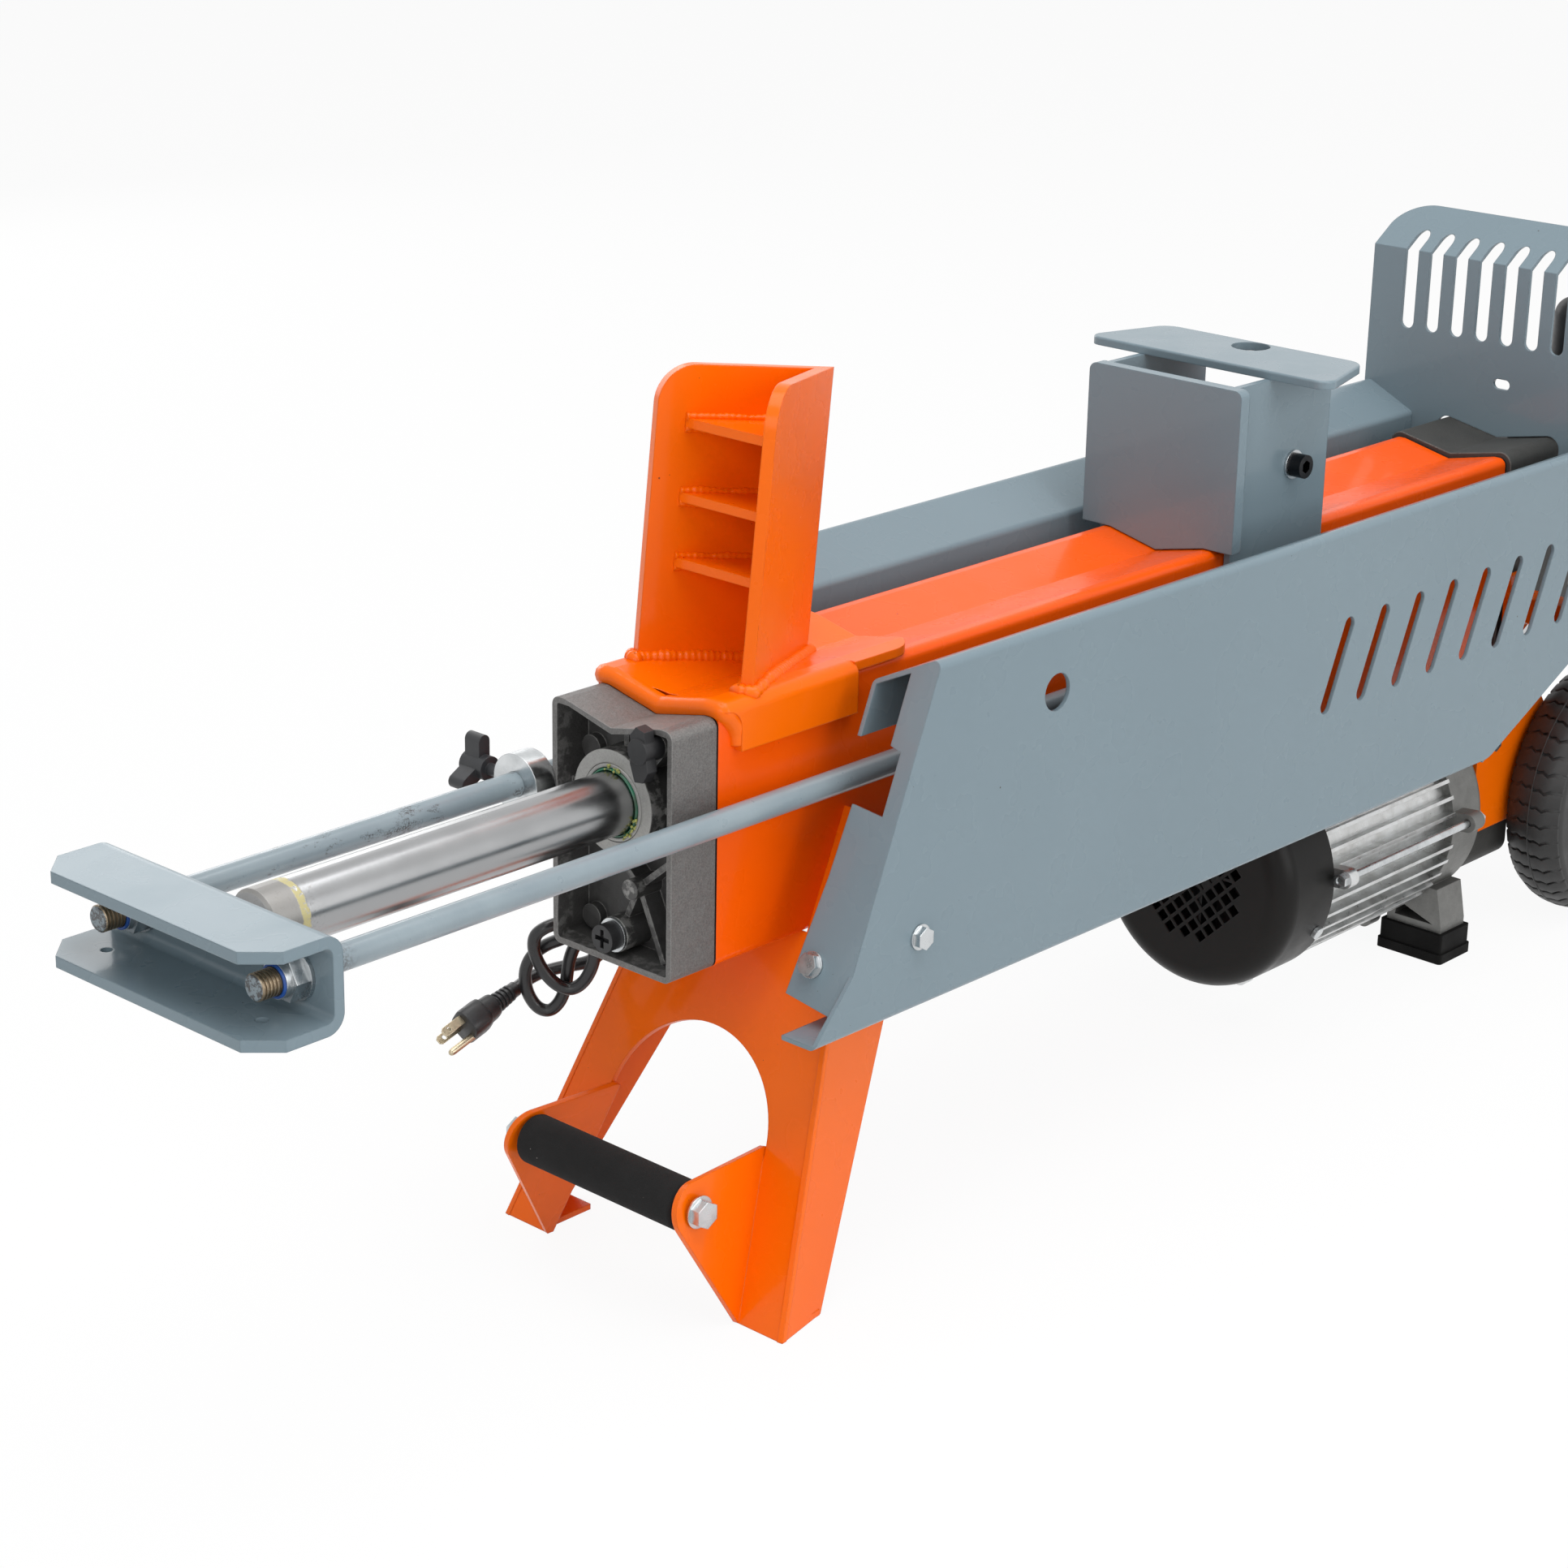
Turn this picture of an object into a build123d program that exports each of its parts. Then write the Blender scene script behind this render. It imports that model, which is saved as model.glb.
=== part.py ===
"""Electric horizontal log splitter: beam with hydraulic ram, wedge, pusher, guards, motor and wheels.

Millimetres, +Z up, +X from the ram's yoke at the front to the wheels at the rear, +Y to the right
side. The origin lies on the ground, midway between the bolt holes of the two front feet.
"""
from build123d import *
import math
import os

os.makedirs("parts", exist_ok=True)

# ---------------------------------------------------------------- driving dimensions
# clearances
seat_gap = 0.3            # painted or cast faces that only stand beside each other
run_gap = 0.05            # radial clearance of a shaft or a sliding rod in its bore
bolt_gap = 0.3            # radial clearance of a bolt in its hole

# beam, which is also the oil tank
beam_half = 51.4
beam_bottom = 226.0
beam_top = 392.0
beam_vee = 9.0            # depth of the shallow vee along the top
beam_vee_half = 41.0
beam_corner = 6.0
beam_wall = 4.0
beam_front = -15.5
beam_rear = 867.0

# front cover, gaskets and cylinder
gasket = 1.5
cover_depth = 38.0
cover_drop = 4.0          # the cover's top lies this much below the beam's
cover_rim = 4.0
cover_floor = 11.0
rod_z = 331.0
rod_d = 40.0
cylinder_od = 60.0
cylinder_bore = 50.0
boss_d = 67.0

# ram
yoke_rear = -348.0
yoke_plate = 7.0
yoke_reach = 57.0
yoke_half = 97.6
yoke_bottom = 303.0
yoke_height = 57.0
tie_y = 67.7
tie_z = 329.7
tie_d = 16.0
piston_front = 345.0
piston_long = 34.0

# pusher
pusher_face = 485.0
pusher_front_plate = 10.0
pusher_half = 66.0
pusher_side = 5.0
pusher_rear = 607.0
pusher_top = 509.0
pusher_cap = 6.0
pusher_cap_half = 107.0

# wedge and saddle
saddle_plate = 6.0
saddle_rear = 166.0
edge_foot = 120.0         # cutting edge at the saddle
wedge_lean = 6.2          # degrees, top towards the pusher
wedge_half_angle = 26.0
blade_long = 117.0
blade_plate = 8.0
wedge_top = 570.0

# side panels
panel_outer = 128.0
panel_sheet = 3.0
panel_bottom = 191.0
panel_top = 417.8
panel_rear = 937.0
panel_front_top = 101.0
panel_slant = 22.1        # degrees from vertical
panel_kink_z = 230.6
panel_toe_x = -7.6
cradle_inner = 80.0
cradle_z = 395.0
cradle_lip = 33.0

# front leg
leg_plate = 4.0
leg_foot_x = -30.1
leg_lean = 23.33          # degrees from vertical
leg_half = 126.1          # at the ground
leg_inner = 88.5
leg_taper = 0.2034        # sideways per unit of height
arch_r = 70.0
arch_up = 100.0           # along the plate
handle_x = -56.5
handle_z = 84.0
grip_d = 33.0
foot_hole_y = 107.0

# rear end
guard_sheet = 3.0
guard_bend_z = 526.0
casting_rear = 975.0
motor_z = 115.0
motor_r = 84.0
fan_cover_front = 550.0
fan_cover_rear = 613.0
stator_rear = 783.0
bell_rear = 825.0
pump_rear = 905.0
wheel_x = 985.0
wheel_r = 104.0
wheel_y = 92.0
tyre_wide = 50.0
axle_d = 16.0

# cord
cord_d = 8.5


# ---------------------------------------------------------------- shared shapes
def beam_section(x, inset=0.0, drop=0.0):
    """Face of the beam's outline at x, its walls moved in by inset and its top down by drop."""
    half, low, high = beam_half - inset, beam_bottom + inset, beam_top - inset - drop
    vee = beam_vee_half - inset
    with BuildSketch(Plane.YZ.offset(x)) as section:
        with BuildLine():
            Polyline((-half, low), (half, low), (half, high), (vee, high), (0, high - beam_vee),
                     (-vee, high), (-half, high), close=True)
        make_face()
        ends = [corner for corner in vertices() if abs(corner.X) > vee + 1]
        fillet(ends, max(beam_corner - inset, 1.5))
    return section.sketch


def hex_bolt(thread, across, head, long, flange=0.0):
    """Hex head bolt, head above the XY plane and shank below; flange is the washer face's diameter."""
    with BuildPart() as bolt:
        if flange:
            with BuildSketch():
                Circle(flange / 2)
            extrude(amount=1.4)
        with BuildSketch():
            RegularPolygon(across / 2, 6, major_radius=False)
        extrude(amount=head)
        with BuildSketch():
            Circle(thread / 2)
        extrude(amount=-long)
    return bolt.part


def socket_screw(thread, head_d, head, long):
    """Socket head cap screw, head above the XY plane and shank below."""
    with BuildPart() as screw:
        with BuildSketch():
            Circle(head_d / 2)
        extrude(amount=head)
        with BuildSketch(Plane.XY.offset(head)):
            RegularPolygon(thread * 0.42, 6, major_radius=False)
        extrude(amount=-head * 0.6, mode=Mode.SUBTRACT)
        with BuildSketch():
            Circle(thread / 2)
        extrude(amount=-long)
    return screw.part


def hex_nut(bore, across, high, collar=0.0):
    """Hex nut standing on the XY plane, with a nylon collar of that height on top."""
    with BuildPart() as nut:
        with BuildSketch():
            RegularPolygon(across / 2, 6, major_radius=False)
        extrude(amount=high)
        if collar:
            with BuildSketch(Plane.XY.offset(high)):
                Circle(across * 0.44)
            extrude(amount=collar)
        with BuildSketch():
            Circle(bore / 2)
        extrude(amount=high + collar, mode=Mode.SUBTRACT)
    return nut.part


def ring(outer, inner, high):
    """Washer, seal or collar standing on the XY plane."""
    with BuildPart() as washer:
        with BuildSketch():
            Circle(outer / 2)
            Circle(inner / 2, mode=Mode.SUBTRACT)
        extrude(amount=high)
    return washer.part


def facing(x, y, z, direction, across=None):
    """Location at a point whose +Z looks along direction and whose +X lies along across."""
    return Plane(origin=(x, y, z), x_dir=across, z_dir=direction).location


def save(piece, name):
    """Label a piece and write it."""
    piece.label = name
    export_step(piece, f"parts/{name}.step")


front, rear, right, up = (-1, 0, 0), (1, 0, 0), (0, 1, 0), (0, 0, 1)

# ---------------------------------------------------------------- beam and tank
tank_bolt_d = 10.0
corner_y = 39.0
corner_low = beam_bottom + 14.0
corner_high = beam_bottom + 126.0
corners = [(side * corner_y, z) for side in (-1, 1) for z in (corner_low, corner_high)]

with BuildPart() as beam:
    extrude(beam_section(beam_front), amount=beam_rear - beam_front)
    extrude(beam_section(beam_front, beam_wall), amount=beam_rear - beam_front, mode=Mode.SUBTRACT)
save(beam.part, "beam_tank")

# ---------------------------------------------------------------- gaskets
cover_rear = beam_front - gasket
casting_front = beam_rear + gasket
cylinder_hole = cylinder_od / 2 + seat_gap


def gasket_sheet(x, drop, ports=()):
    """Gasket that follows the beam's end, with holes for the cylinder, the bolts and the ports."""
    with BuildPart() as sheet:
        extrude(beam_section(x, 0.0, drop), amount=gasket)
        with BuildSketch(Plane.YZ.offset(x)):
            with Locations((0, rod_z)):
                Circle(cylinder_hole)
            with Locations(*corners):
                Circle(tank_bolt_d / 2 + bolt_gap)
            for y, z, d in ports:
                with Locations((y, z)):
                    Circle(d / 2 + bolt_gap)
        extrude(amount=gasket, mode=Mode.SUBTRACT)
    return sheet.part


bleed_y, bleed_z, bleed_d = -33.0, 374.5, 8.0
drain_y, drain_z, drain_d = 2.0, 243.0, 12.0
ports = [(bleed_y, bleed_z, bleed_d), (drain_y, drain_z, drain_d)]
with BuildPart() as gaskets:
    add(gasket_sheet(cover_rear, cover_drop, ports))
    add(gasket_sheet(beam_rear, 0.0))
save(gaskets.part, "gaskets")

# ---------------------------------------------------------------- front cover
cover_front = cover_rear - cover_depth
floor_face = cover_rear - cover_floor
lug_r = 8.0
lug_high = 6.0
bleed_boss = 8.0
plain_y, plain_z, plain_boss = -11.0, 276.0, 6.5
drain_boss = 11.5
boss_face = cover_front + 5.0
seal_od, seal_long = 50.0, 8.0
rod_hole = rod_d + 2 * run_gap
rib = 4.0
rib_high = 14.0
tapped = 13.0

with BuildPart() as front_cover:
    extrude(beam_section(cover_rear, 0.0, cover_drop), amount=-cover_depth)
    extrude(beam_section(floor_face, cover_rim, cover_drop), amount=cover_front - floor_face,
            mode=Mode.SUBTRACT)
    with BuildSketch(Plane.YZ.offset(floor_face)):
        with Locations((0, rod_z)):
            Circle(boss_d / 2)
    extrude(amount=cover_front + 1.0 - floor_face)
    with BuildSketch(Plane.YZ.offset(floor_face)):
        with Locations(*corners):
            Circle(lug_r)
    extrude(amount=-lug_high)
    with BuildSketch(Plane.YZ.offset(floor_face)):
        with Locations((bleed_y, bleed_z)):
            Circle(bleed_boss)
        with Locations((plain_y, plain_z)):
            Circle(plain_boss)
        with Locations((drain_y, drain_z)):
            Circle(drain_boss)
    extrude(amount=boss_face - floor_face)
    with BuildSketch(Plane.YZ.offset(floor_face)):
        for angle in (0, 90, 130, 180, 215, 325):
            turn = math.radians(angle)
            reach = boss_d / 2 + 10
            spot = (reach * math.cos(turn), rod_z + reach * math.sin(turn))
            with Locations(Location((*spot, 0), angle)):
                Rectangle(30, rib)
        for angle in (40, 140, 245, 295):
            with Locations(Location((plain_y, plain_z, 0), angle)):
                Rectangle(50, rib, align=(Align.MIN, Align.CENTER))
    extrude(amount=-rib_high)
    extrude(beam_section(cover_rear, 0.0, cover_drop), amount=-cover_depth, mode=Mode.INTERSECT)
    with BuildSketch(Plane.YZ.offset(cover_rear)):
        with Locations((0, rod_z)):
            Circle(rod_hole / 2)
        with Locations((bleed_y, bleed_z)):
            Circle(bleed_d / 2 + run_gap)
        with Locations((drain_y, drain_z)):
            Circle(drain_d / 2 + run_gap)
    extrude(amount=-cover_depth, mode=Mode.SUBTRACT)
    with BuildSketch(Plane.YZ.offset(cover_rear)):
        with Locations(*corners):
            Circle(tank_bolt_d / 2 + run_gap)
    extrude(amount=-tapped, mode=Mode.SUBTRACT)
    with BuildSketch(Plane.YZ.offset(cover_front)):
        with Locations((0, rod_z)):
            Circle(seal_od / 2)
    extrude(amount=seal_long, mode=Mode.SUBTRACT)
save(front_cover.part, "front_cover")

with BuildPart() as wiper_seal:
    with Locations(facing(cover_front, 0, rod_z, rear)):
        add(ring(seal_od, rod_hole, seal_long))
save(wiper_seal.part, "rod_wiper_seal")

# four long bolts clamp the cover, the beam and the rear casting together
m10_across, m10_hex = 17.0, 7.0
tank_bolt = hex_bolt(tank_bolt_d, m10_across, m10_hex, casting_rear - cover_rear + tapped - 1.0)
with BuildPart() as tank_bolts:
    with Locations(*[facing(casting_rear, y, z, rear) for y, z in corners]):
        add(tank_bolt)
save(tank_bolts.part, "tank_bolts")

# ---------------------------------------------------------------- bleed screw and oil plug
wing_outline = ((-6, 0), (-8, 12), (-4, 19), (3, 20), (7, 9), (6, 0), (7, -9), (2, -15), (-5, -13))
wing_start, wing_thick = 7.0, 8.0
bleed_hub_long, bleed_long = 16.0, 24.0
with BuildPart() as bleed_screw:
    with BuildSketch():
        Circle(bleed_boss)
    extrude(amount=bleed_hub_long)
    with BuildSketch(Plane.XY.offset(wing_start)):
        with BuildLine():
            Polyline(*wing_outline, close=True)
        make_face()
    extrude(amount=wing_thick)
    with BuildSketch():
        Circle(bleed_d / 2)
    extrude(amount=-bleed_long)
save(bleed_screw.part.moved(facing(boss_face, bleed_y, bleed_z, front, right)), "bleed_screw")

plug_washer = 2.0
with BuildPart() as plug_seal:
    with Locations(facing(boss_face, drain_y, drain_z, front)):
        add(ring(2 * drain_boss - 1, drain_d + 2 * bolt_gap, plug_washer))
save(plug_seal.part, "oil_plug_washer")

dipstick_d, dipstick_long = 5.0, 110.0
plug_head_r, plug_head_high = 9.0, 9.0
cross_long, cross_wide, cross_deep = 12.0, 3.0, 4.0
with BuildPart() as oil_plug:
    with BuildSketch():
        Circle(plug_head_r)
    extrude(amount=plug_head_high)
    with BuildSketch(Plane.XY.offset(plug_head_high)):
        Rectangle(cross_long, cross_wide)
        Rectangle(cross_wide, cross_long)
    extrude(amount=-cross_deep, mode=Mode.SUBTRACT)
    with BuildSketch():
        Circle(drain_d / 2)
    extrude(amount=-(cover_rear - boss_face + plug_washer))
    with BuildSketch():
        Circle(dipstick_d / 2)
    extrude(amount=-dipstick_long)
save(oil_plug.part.moved(facing(boss_face - plug_washer, drain_y, drain_z, front, right)), "oil_plug")

# ---------------------------------------------------------------- cylinder and piston rod
with BuildPart() as cylinder:
    with Locations(facing(cover_rear, 0, rod_z, rear)):
        add(ring(cylinder_od, cylinder_bore, casting_front - cover_rear))
save(cylinder.part, "cylinder_tube")

stub_d, stub_long = 28.0, 17.0
bead_d = 36.0
nose_d = 22.0
piston_rear = piston_front + piston_long
rod_front = yoke_rear + stub_long
with BuildPart() as rod:
    with BuildSketch(Plane.XZ):
        with BuildLine():
            Polyline((yoke_rear, rod_z), (yoke_rear, rod_z + bead_d / 2),
                     (yoke_rear + 4, rod_z + stub_d / 2), (rod_front - 3, rod_z + stub_d / 2),
                     (rod_front, rod_z + rod_d / 2 - 2), (rod_front + 2, rod_z + rod_d / 2),
                     (piston_front, rod_z + rod_d / 2), (piston_front, rod_z + nose_d / 2),
                     (piston_rear, rod_z + nose_d / 2), (piston_rear, rod_z), close=True)
        make_face()
    revolve(axis=Axis((0, 0, rod_z), (1, 0, 0)))
save(rod.part, "piston_rod")

with BuildPart() as piston:
    with Locations(facing(piston_front, 0, rod_z, rear)):
        add(ring(cylinder_bore - 2 * run_gap, nose_d + 2 * run_gap, piston_long))
save(piston.part, "piston")

# ---------------------------------------------------------------- yoke and tie rods
yoke_front = yoke_rear - yoke_reach
yoke_chamfer = 17.0
yoke_bend = 12.0
with BuildPart() as yoke:
    with BuildSketch(Plane.XZ.offset(-yoke_half)):
        with BuildLine():
            low, high = yoke_bottom, yoke_bottom + yoke_height
            FilletPolyline((yoke_front, low), (yoke_rear, low), (yoke_rear, high),
                           (yoke_front, high), radius=yoke_bend)
            offset(amount=yoke_plate, side=Side.LEFT)
        make_face()
    extrude(amount=2 * yoke_half)
    corner_edges = yoke.edges().filter_by(Axis.Z).group_by(Axis.X)[0]
    chamfer(corner_edges, yoke_chamfer)
    with BuildSketch(Plane.YZ.offset(yoke_rear)):
        with Locations((tie_y, tie_z), (-tie_y, tie_z)):
            Circle(tie_d / 2 + bolt_gap)
    extrude(amount=-yoke_plate * 2, mode=Mode.SUBTRACT)
    with BuildSketch(Plane.XY.offset(yoke_bottom)):
        with Locations((yoke_front + 25, tie_y), (yoke_front + 25, -tie_y)):
            Circle(3.5)
    extrude(amount=yoke_plate, mode=Mode.SUBTRACT)
save(yoke.part, "yoke")

lug_front, lug_long = pusher_face + 12.0, 36.0
rod_end = lug_front + lug_long - 6.0
thread_out = 30.0
thread_pitch, thread_turns, thread_deep = 2.4, 19, 0.8
washer_thick = 2.5
tie_front = yoke_rear - yoke_plate - thread_out
with BuildPart() as tie_rods:
    for side in (-1, 1):
        with BuildSketch(Plane(origin=(tie_front, side * tie_y, tie_z), z_dir=rear)):
            Circle(tie_d / 2)
        extrude(amount=rod_end - tie_front)
    chamfer(tie_rods.edges().filter_by(GeomType.CIRCLE), 1.2)
    for turn in range(thread_turns):
        with BuildSketch(Plane.YZ.offset(tie_front + 2.0 + turn * thread_pitch)):
            for side in (-1, 1):
                with Locations((side * tie_y, tie_z)):
                    Circle(tie_d / 2)
                    Circle(tie_d / 2 - thread_deep, mode=Mode.SUBTRACT)
        extrude(amount=thread_pitch / 2, mode=Mode.SUBTRACT)
save(tie_rods.part, "tie_rods")

web_front = yoke_rear - yoke_plate
m16_across, m16_nut, m16_collar = 24.0, 13.0, 4.0
nut_bore = tie_d + 2 * run_gap
with BuildPart() as yoke_nuts:
    with Locations(*[facing(web_front - washer_thick, side * tie_y, tie_z, front, right)
                     for side in (-1, 1)]):
        add(hex_nut(nut_bore, m16_across, m16_nut - m16_collar, m16_collar))
save(yoke_nuts.part, "yoke_nuts")

# ---------------------------------------------------------------- stroke limiter
collar_od, collar_wide = 39.0, 16.0
collar_rear = cover_front - seat_gap
collar_x = collar_rear - collar_wide / 2
with BuildPart() as collar:
    with Locations(facing(collar_rear, tie_y, tie_z, front)):
        add(ring(collar_od, tie_d + 2 * run_gap, collar_wide))
    with BuildSketch(Plane(origin=(collar_x, tie_y, tie_z), z_dir=right)):
        Circle(4 + run_gap)
    extrude(amount=collar_od, mode=Mode.SUBTRACT)
save(collar.part, "limiter_collar")

knob_start = collar_od / 2 + 12.0
knob_lobe = 21.0
with BuildPart() as knob:
    with BuildSketch(Plane.XY.offset(tie_d / 2 + seat_gap)):
        Circle(4)
    extrude(amount=knob_start - tie_d / 2)
    with BuildSketch(Plane.XY.offset(knob_start)):
        Circle(8)
    extrude(amount=20)
    with BuildSketch(Plane.XY.offset(knob_start + 5)):
        with PolarLocations(0, 3):
            with Locations((knob_lobe / 2, 0)):
                SlotOverall(knob_lobe, 9)
    extrude(amount=13)
save(knob.part.moved(facing(collar_x, tie_y, tie_z, right, up)), "limiter_knob")

# ---------------------------------------------------------------- pusher
side_inner = beam_half + 1.0
side_outer = side_inner + pusher_side
slide_gap = 0.3
foot_z = beam_top + 1.0
lug_outer = 78.0
lug_half = 17.0
pusher_corner, pusher_shoulder = 14.0, 70.0
m10, m10_head_d, m10_head = 10.0, 17.0, 10.0
pusher_screw_back, pusher_screw_z = 79.5, 443.0
pusher_screw_x = pusher_face + pusher_screw_back
with BuildPart() as pusher:
    with BuildSketch(Plane.YZ.offset(pusher_face)):
        with Locations((0, foot_z)):
            Rectangle(2 * pusher_half, pusher_top - foot_z, align=(Align.CENTER, Align.MIN))
        with BuildLine():
            Polyline((-beam_vee_half, foot_z), (0, foot_z - beam_vee), (beam_vee_half, foot_z),
                     close=True)
        make_face()
    extrude(amount=pusher_front_plate)
    front_corners = pusher.edges().filter_by(Axis.X).filter_by_position(Axis.Z, foot_z + 1, pusher_top)
    fillet(front_corners, 6)
    for side in (-1, 1):
        with BuildSketch(Plane.XZ.offset(-side * side_inner)):
            with Locations((pusher_face + pusher_front_plate, tie_z - lug_half)):
                Rectangle(pusher_rear - pusher_face - pusher_front_plate,
                          pusher_top - tie_z + lug_half, align=(Align.MIN, Align.MIN))
            low_corner, high_corner = vertices().group_by(Axis.X)[-1].sort_by(Axis.Y)
            fillet(low_corner, pusher_corner)
            fillet(high_corner, pusher_shoulder)
            with Locations((pusher_screw_x, pusher_screw_z)):
                Circle(m10 / 2 + bolt_gap, mode=Mode.SUBTRACT)
        extrude(amount=-side * pusher_side)
    for side in (-1, 1):
        with BuildSketch(Plane.YZ.offset(lug_front)):
            with Locations((side * (side_outer + lug_outer) / 2, tie_z)):
                Rectangle(lug_outer - side_outer, 2 * lug_half)
            with Locations((side * tie_y, tie_z)):
                Circle(tie_d / 2 + run_gap, mode=Mode.SUBTRACT)
        extrude(amount=lug_long)
save(pusher.part, "pusher_frame")

cap_front, cap_rear, cap_narrows = pusher_face + 46.0, pusher_rear - 4.0, 21.0
cap_hole_x, cap_hole_r, cap_corner = 587.0, 14.0, 16.0
with BuildPart() as cap:
    with BuildSketch(Plane.XY.offset(pusher_top)):
        with BuildLine():
            rear_half = pusher_cap_half - cap_narrows
            Polyline((cap_front, -pusher_cap_half), (cap_rear, -rear_half), (cap_rear, rear_half),
                     (cap_front, pusher_cap_half), close=True)
        make_face()
        fillet(vertices().group_by(Axis.X)[-1], cap_corner)
        fillet(vertices().group_by(Axis.X)[0], 10)
        with Locations((cap_hole_x, 0)):
            Circle(cap_hole_r, mode=Mode.SUBTRACT)
    extrude(amount=pusher_cap)
    fillet(cap.faces().sort_by(Axis.Z)[-1].outer_wire().edges(), 1.5)
save(cap.part, "pusher_cap")

block_front, block_rear, block_top = pusher_face + 35.0, pusher_rear - 12.0, 468.0
block_half = side_inner
with BuildPart() as guide_block:
    with BuildSketch(Plane.YZ.offset(block_front)):
        with BuildLine():
            low = beam_top + slide_gap
            Polyline((-block_half, low), (-beam_vee_half, low), (0, low - beam_vee),
                     (beam_vee_half, low), (block_half, low), (block_half, block_top),
                     (-block_half, block_top), close=True)
        make_face()
    extrude(amount=block_rear - block_front)
    with BuildSketch(Plane.XZ.offset(-block_half)):
        with Locations((pusher_screw_x, pusher_screw_z)):
            Circle(m10 / 2 + run_gap)
    extrude(amount=2 * block_half, mode=Mode.SUBTRACT)
save(guide_block.part, "pusher_guide_block")

m10_washer = 2.0
with BuildPart() as washers:
    with Locations(*[facing(web_front, side * tie_y, tie_z, front) for side in (-1, 1)]):
        add(ring(30, tie_d + 2 * bolt_gap, washer_thick))
    with Locations(*[facing(pusher_screw_x, side * side_outer, pusher_screw_z, (0, side, 0))
                     for side in (-1, 1)]):
        add(ring(21, m10 + 2 * bolt_gap, m10_washer))
save(washers.part, "ram_washers")

pusher_screw = socket_screw(m10, m10_head_d, m10_head, 30)
with BuildPart() as pusher_screws:
    with Locations(*[facing(pusher_screw_x, side * (side_outer + m10_washer), pusher_screw_z,
                            (0, side, 0)) for side in (-1, 1)]):
        add(pusher_screw)
save(pusher_screws.part, "pusher_screws")

# ---------------------------------------------------------------- saddle and wedge
saddle_top = beam_top + saddle_plate
saddle_half = beam_half + saddle_plate
saddle_low = 365.0
saddle_front, flange_front, flange_rear = beam_front + 0.5, -1.0, 104.0
saddle_strip_half = 55.0
saddle_bend, saddle_nose, saddle_turn = 8.0, 4.5, 12.0


def vee_plate(half, low, high):
    """Points of a plate that lies on the beam's vee, with its side edges down to low."""
    return [(-half, low), (-beam_half, low), (-beam_half, beam_top), (-beam_vee_half, beam_top),
            (0, beam_top - beam_vee), (beam_vee_half, beam_top), (beam_half, beam_top),
            (beam_half, low), (half, low), (half, high), (beam_vee_half, high),
            (0, high - beam_vee), (-beam_vee_half, high), (-half, high)]


with BuildPart() as saddle:
    with BuildSketch(Plane.YZ.offset(saddle_front)):
        with BuildLine():
            Polyline(*vee_plate(saddle_half, saddle_low, saddle_top), close=True)
        make_face()
        fillet([corner for corner in vertices() if abs(corner.X) > beam_half + 1
                and corner.Y > beam_top], saddle_bend)
    extrude(amount=flange_rear - saddle_front)
    # the front edge is rounded over along the whole vee and down both sides
    upper = [edge for edge in saddle.edges().group_by(Axis.X)[0]
             if edge.center().Z > beam_top + 1 or abs(edge.center().Y) > saddle_half - 3]
    fillet(upper, saddle_nose)
    with BuildSketch(Plane.XZ.offset(-saddle_half - 1)):
        with Locations((saddle_front, saddle_low)):
            Rectangle(flange_front - saddle_front, beam_top - saddle_low, align=(Align.MIN, Align.MIN))
        fillet(vertices().group_by(Axis.X)[-1].sort_by(Axis.Y)[-1], saddle_turn)
    extrude(amount=2 * saddle_half + 2, mode=Mode.SUBTRACT)
    with BuildSketch(Plane.YZ.offset(flange_rear - 1)):
        with BuildLine():
            Polyline((-saddle_strip_half, beam_top), (-beam_vee_half, beam_top),
                     (0, beam_top - beam_vee), (beam_vee_half, beam_top),
                     (saddle_strip_half, beam_top), (saddle_strip_half, saddle_top),
                     (beam_vee_half, saddle_top), (0, saddle_top - beam_vee),
                     (-beam_vee_half, saddle_top), (-saddle_strip_half, saddle_top), close=True)
        make_face()
    extrude(amount=saddle_rear - flange_rear + 1)
    fillet(saddle.edges().filter_by(Axis.Z).group_by(Axis.X)[-1], 25)
save(saddle.part, "saddle")

lean = math.radians(wedge_lean)
half_angle = math.radians(wedge_half_angle)
wedge_up = (math.sin(lean), 0, math.cos(lean))
wedge_plane = Plane(origin=(edge_foot, 0, saddle_top), x_dir=(math.cos(lean), 0, -math.sin(lean)),
                    z_dir=wedge_up)
wedge_high = (wedge_top - saddle_top) / math.cos(lean)
blade_sink = 30.0
blade_corner = 25.0
edge_back = blade_plate / math.sin(half_angle)


def blade_inner(back):
    """Half width between the two blades, that far behind the cutting edge."""
    return (back - edge_back) * math.tan(half_angle)


with BuildPart() as blades:
    arm_x, arm_y = -blade_long * math.cos(half_angle), blade_long * math.sin(half_angle)
    end_x = arm_x - blade_plate * math.sin(half_angle)
    end_y = arm_y - blade_plate * math.cos(half_angle)
    with BuildSketch(wedge_plane.offset(-blade_sink)):
        with BuildLine():
            Polyline((0, 0), (arm_x, arm_y), (end_x, end_y), (-edge_back, 0), (end_x, -end_y),
                     (arm_x, -arm_y), close=True)
        make_face()
    extrude(amount=wedge_high + blade_sink)
    end_edges = blades.edges().filter_by(lambda edge: abs(edge.length - blade_plate) < 0.01)
    fillet(end_edges.sort_by(Axis.Z)[-2:], blade_corner)
    with BuildSketch(Plane.YZ.offset(beam_front)):
        with BuildLine():
            Polyline((-beam_half, beam_bottom), (beam_half, beam_bottom), (beam_half, saddle_top),
                     (beam_vee_half, saddle_top), (0, saddle_top - beam_vee),
                     (-beam_vee_half, saddle_top), (-beam_half, saddle_top), close=True)
        make_face()
    extrude(amount=saddle_rear - beam_front, mode=Mode.SUBTRACT)
save(blades.part, "wedge_blades")

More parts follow.
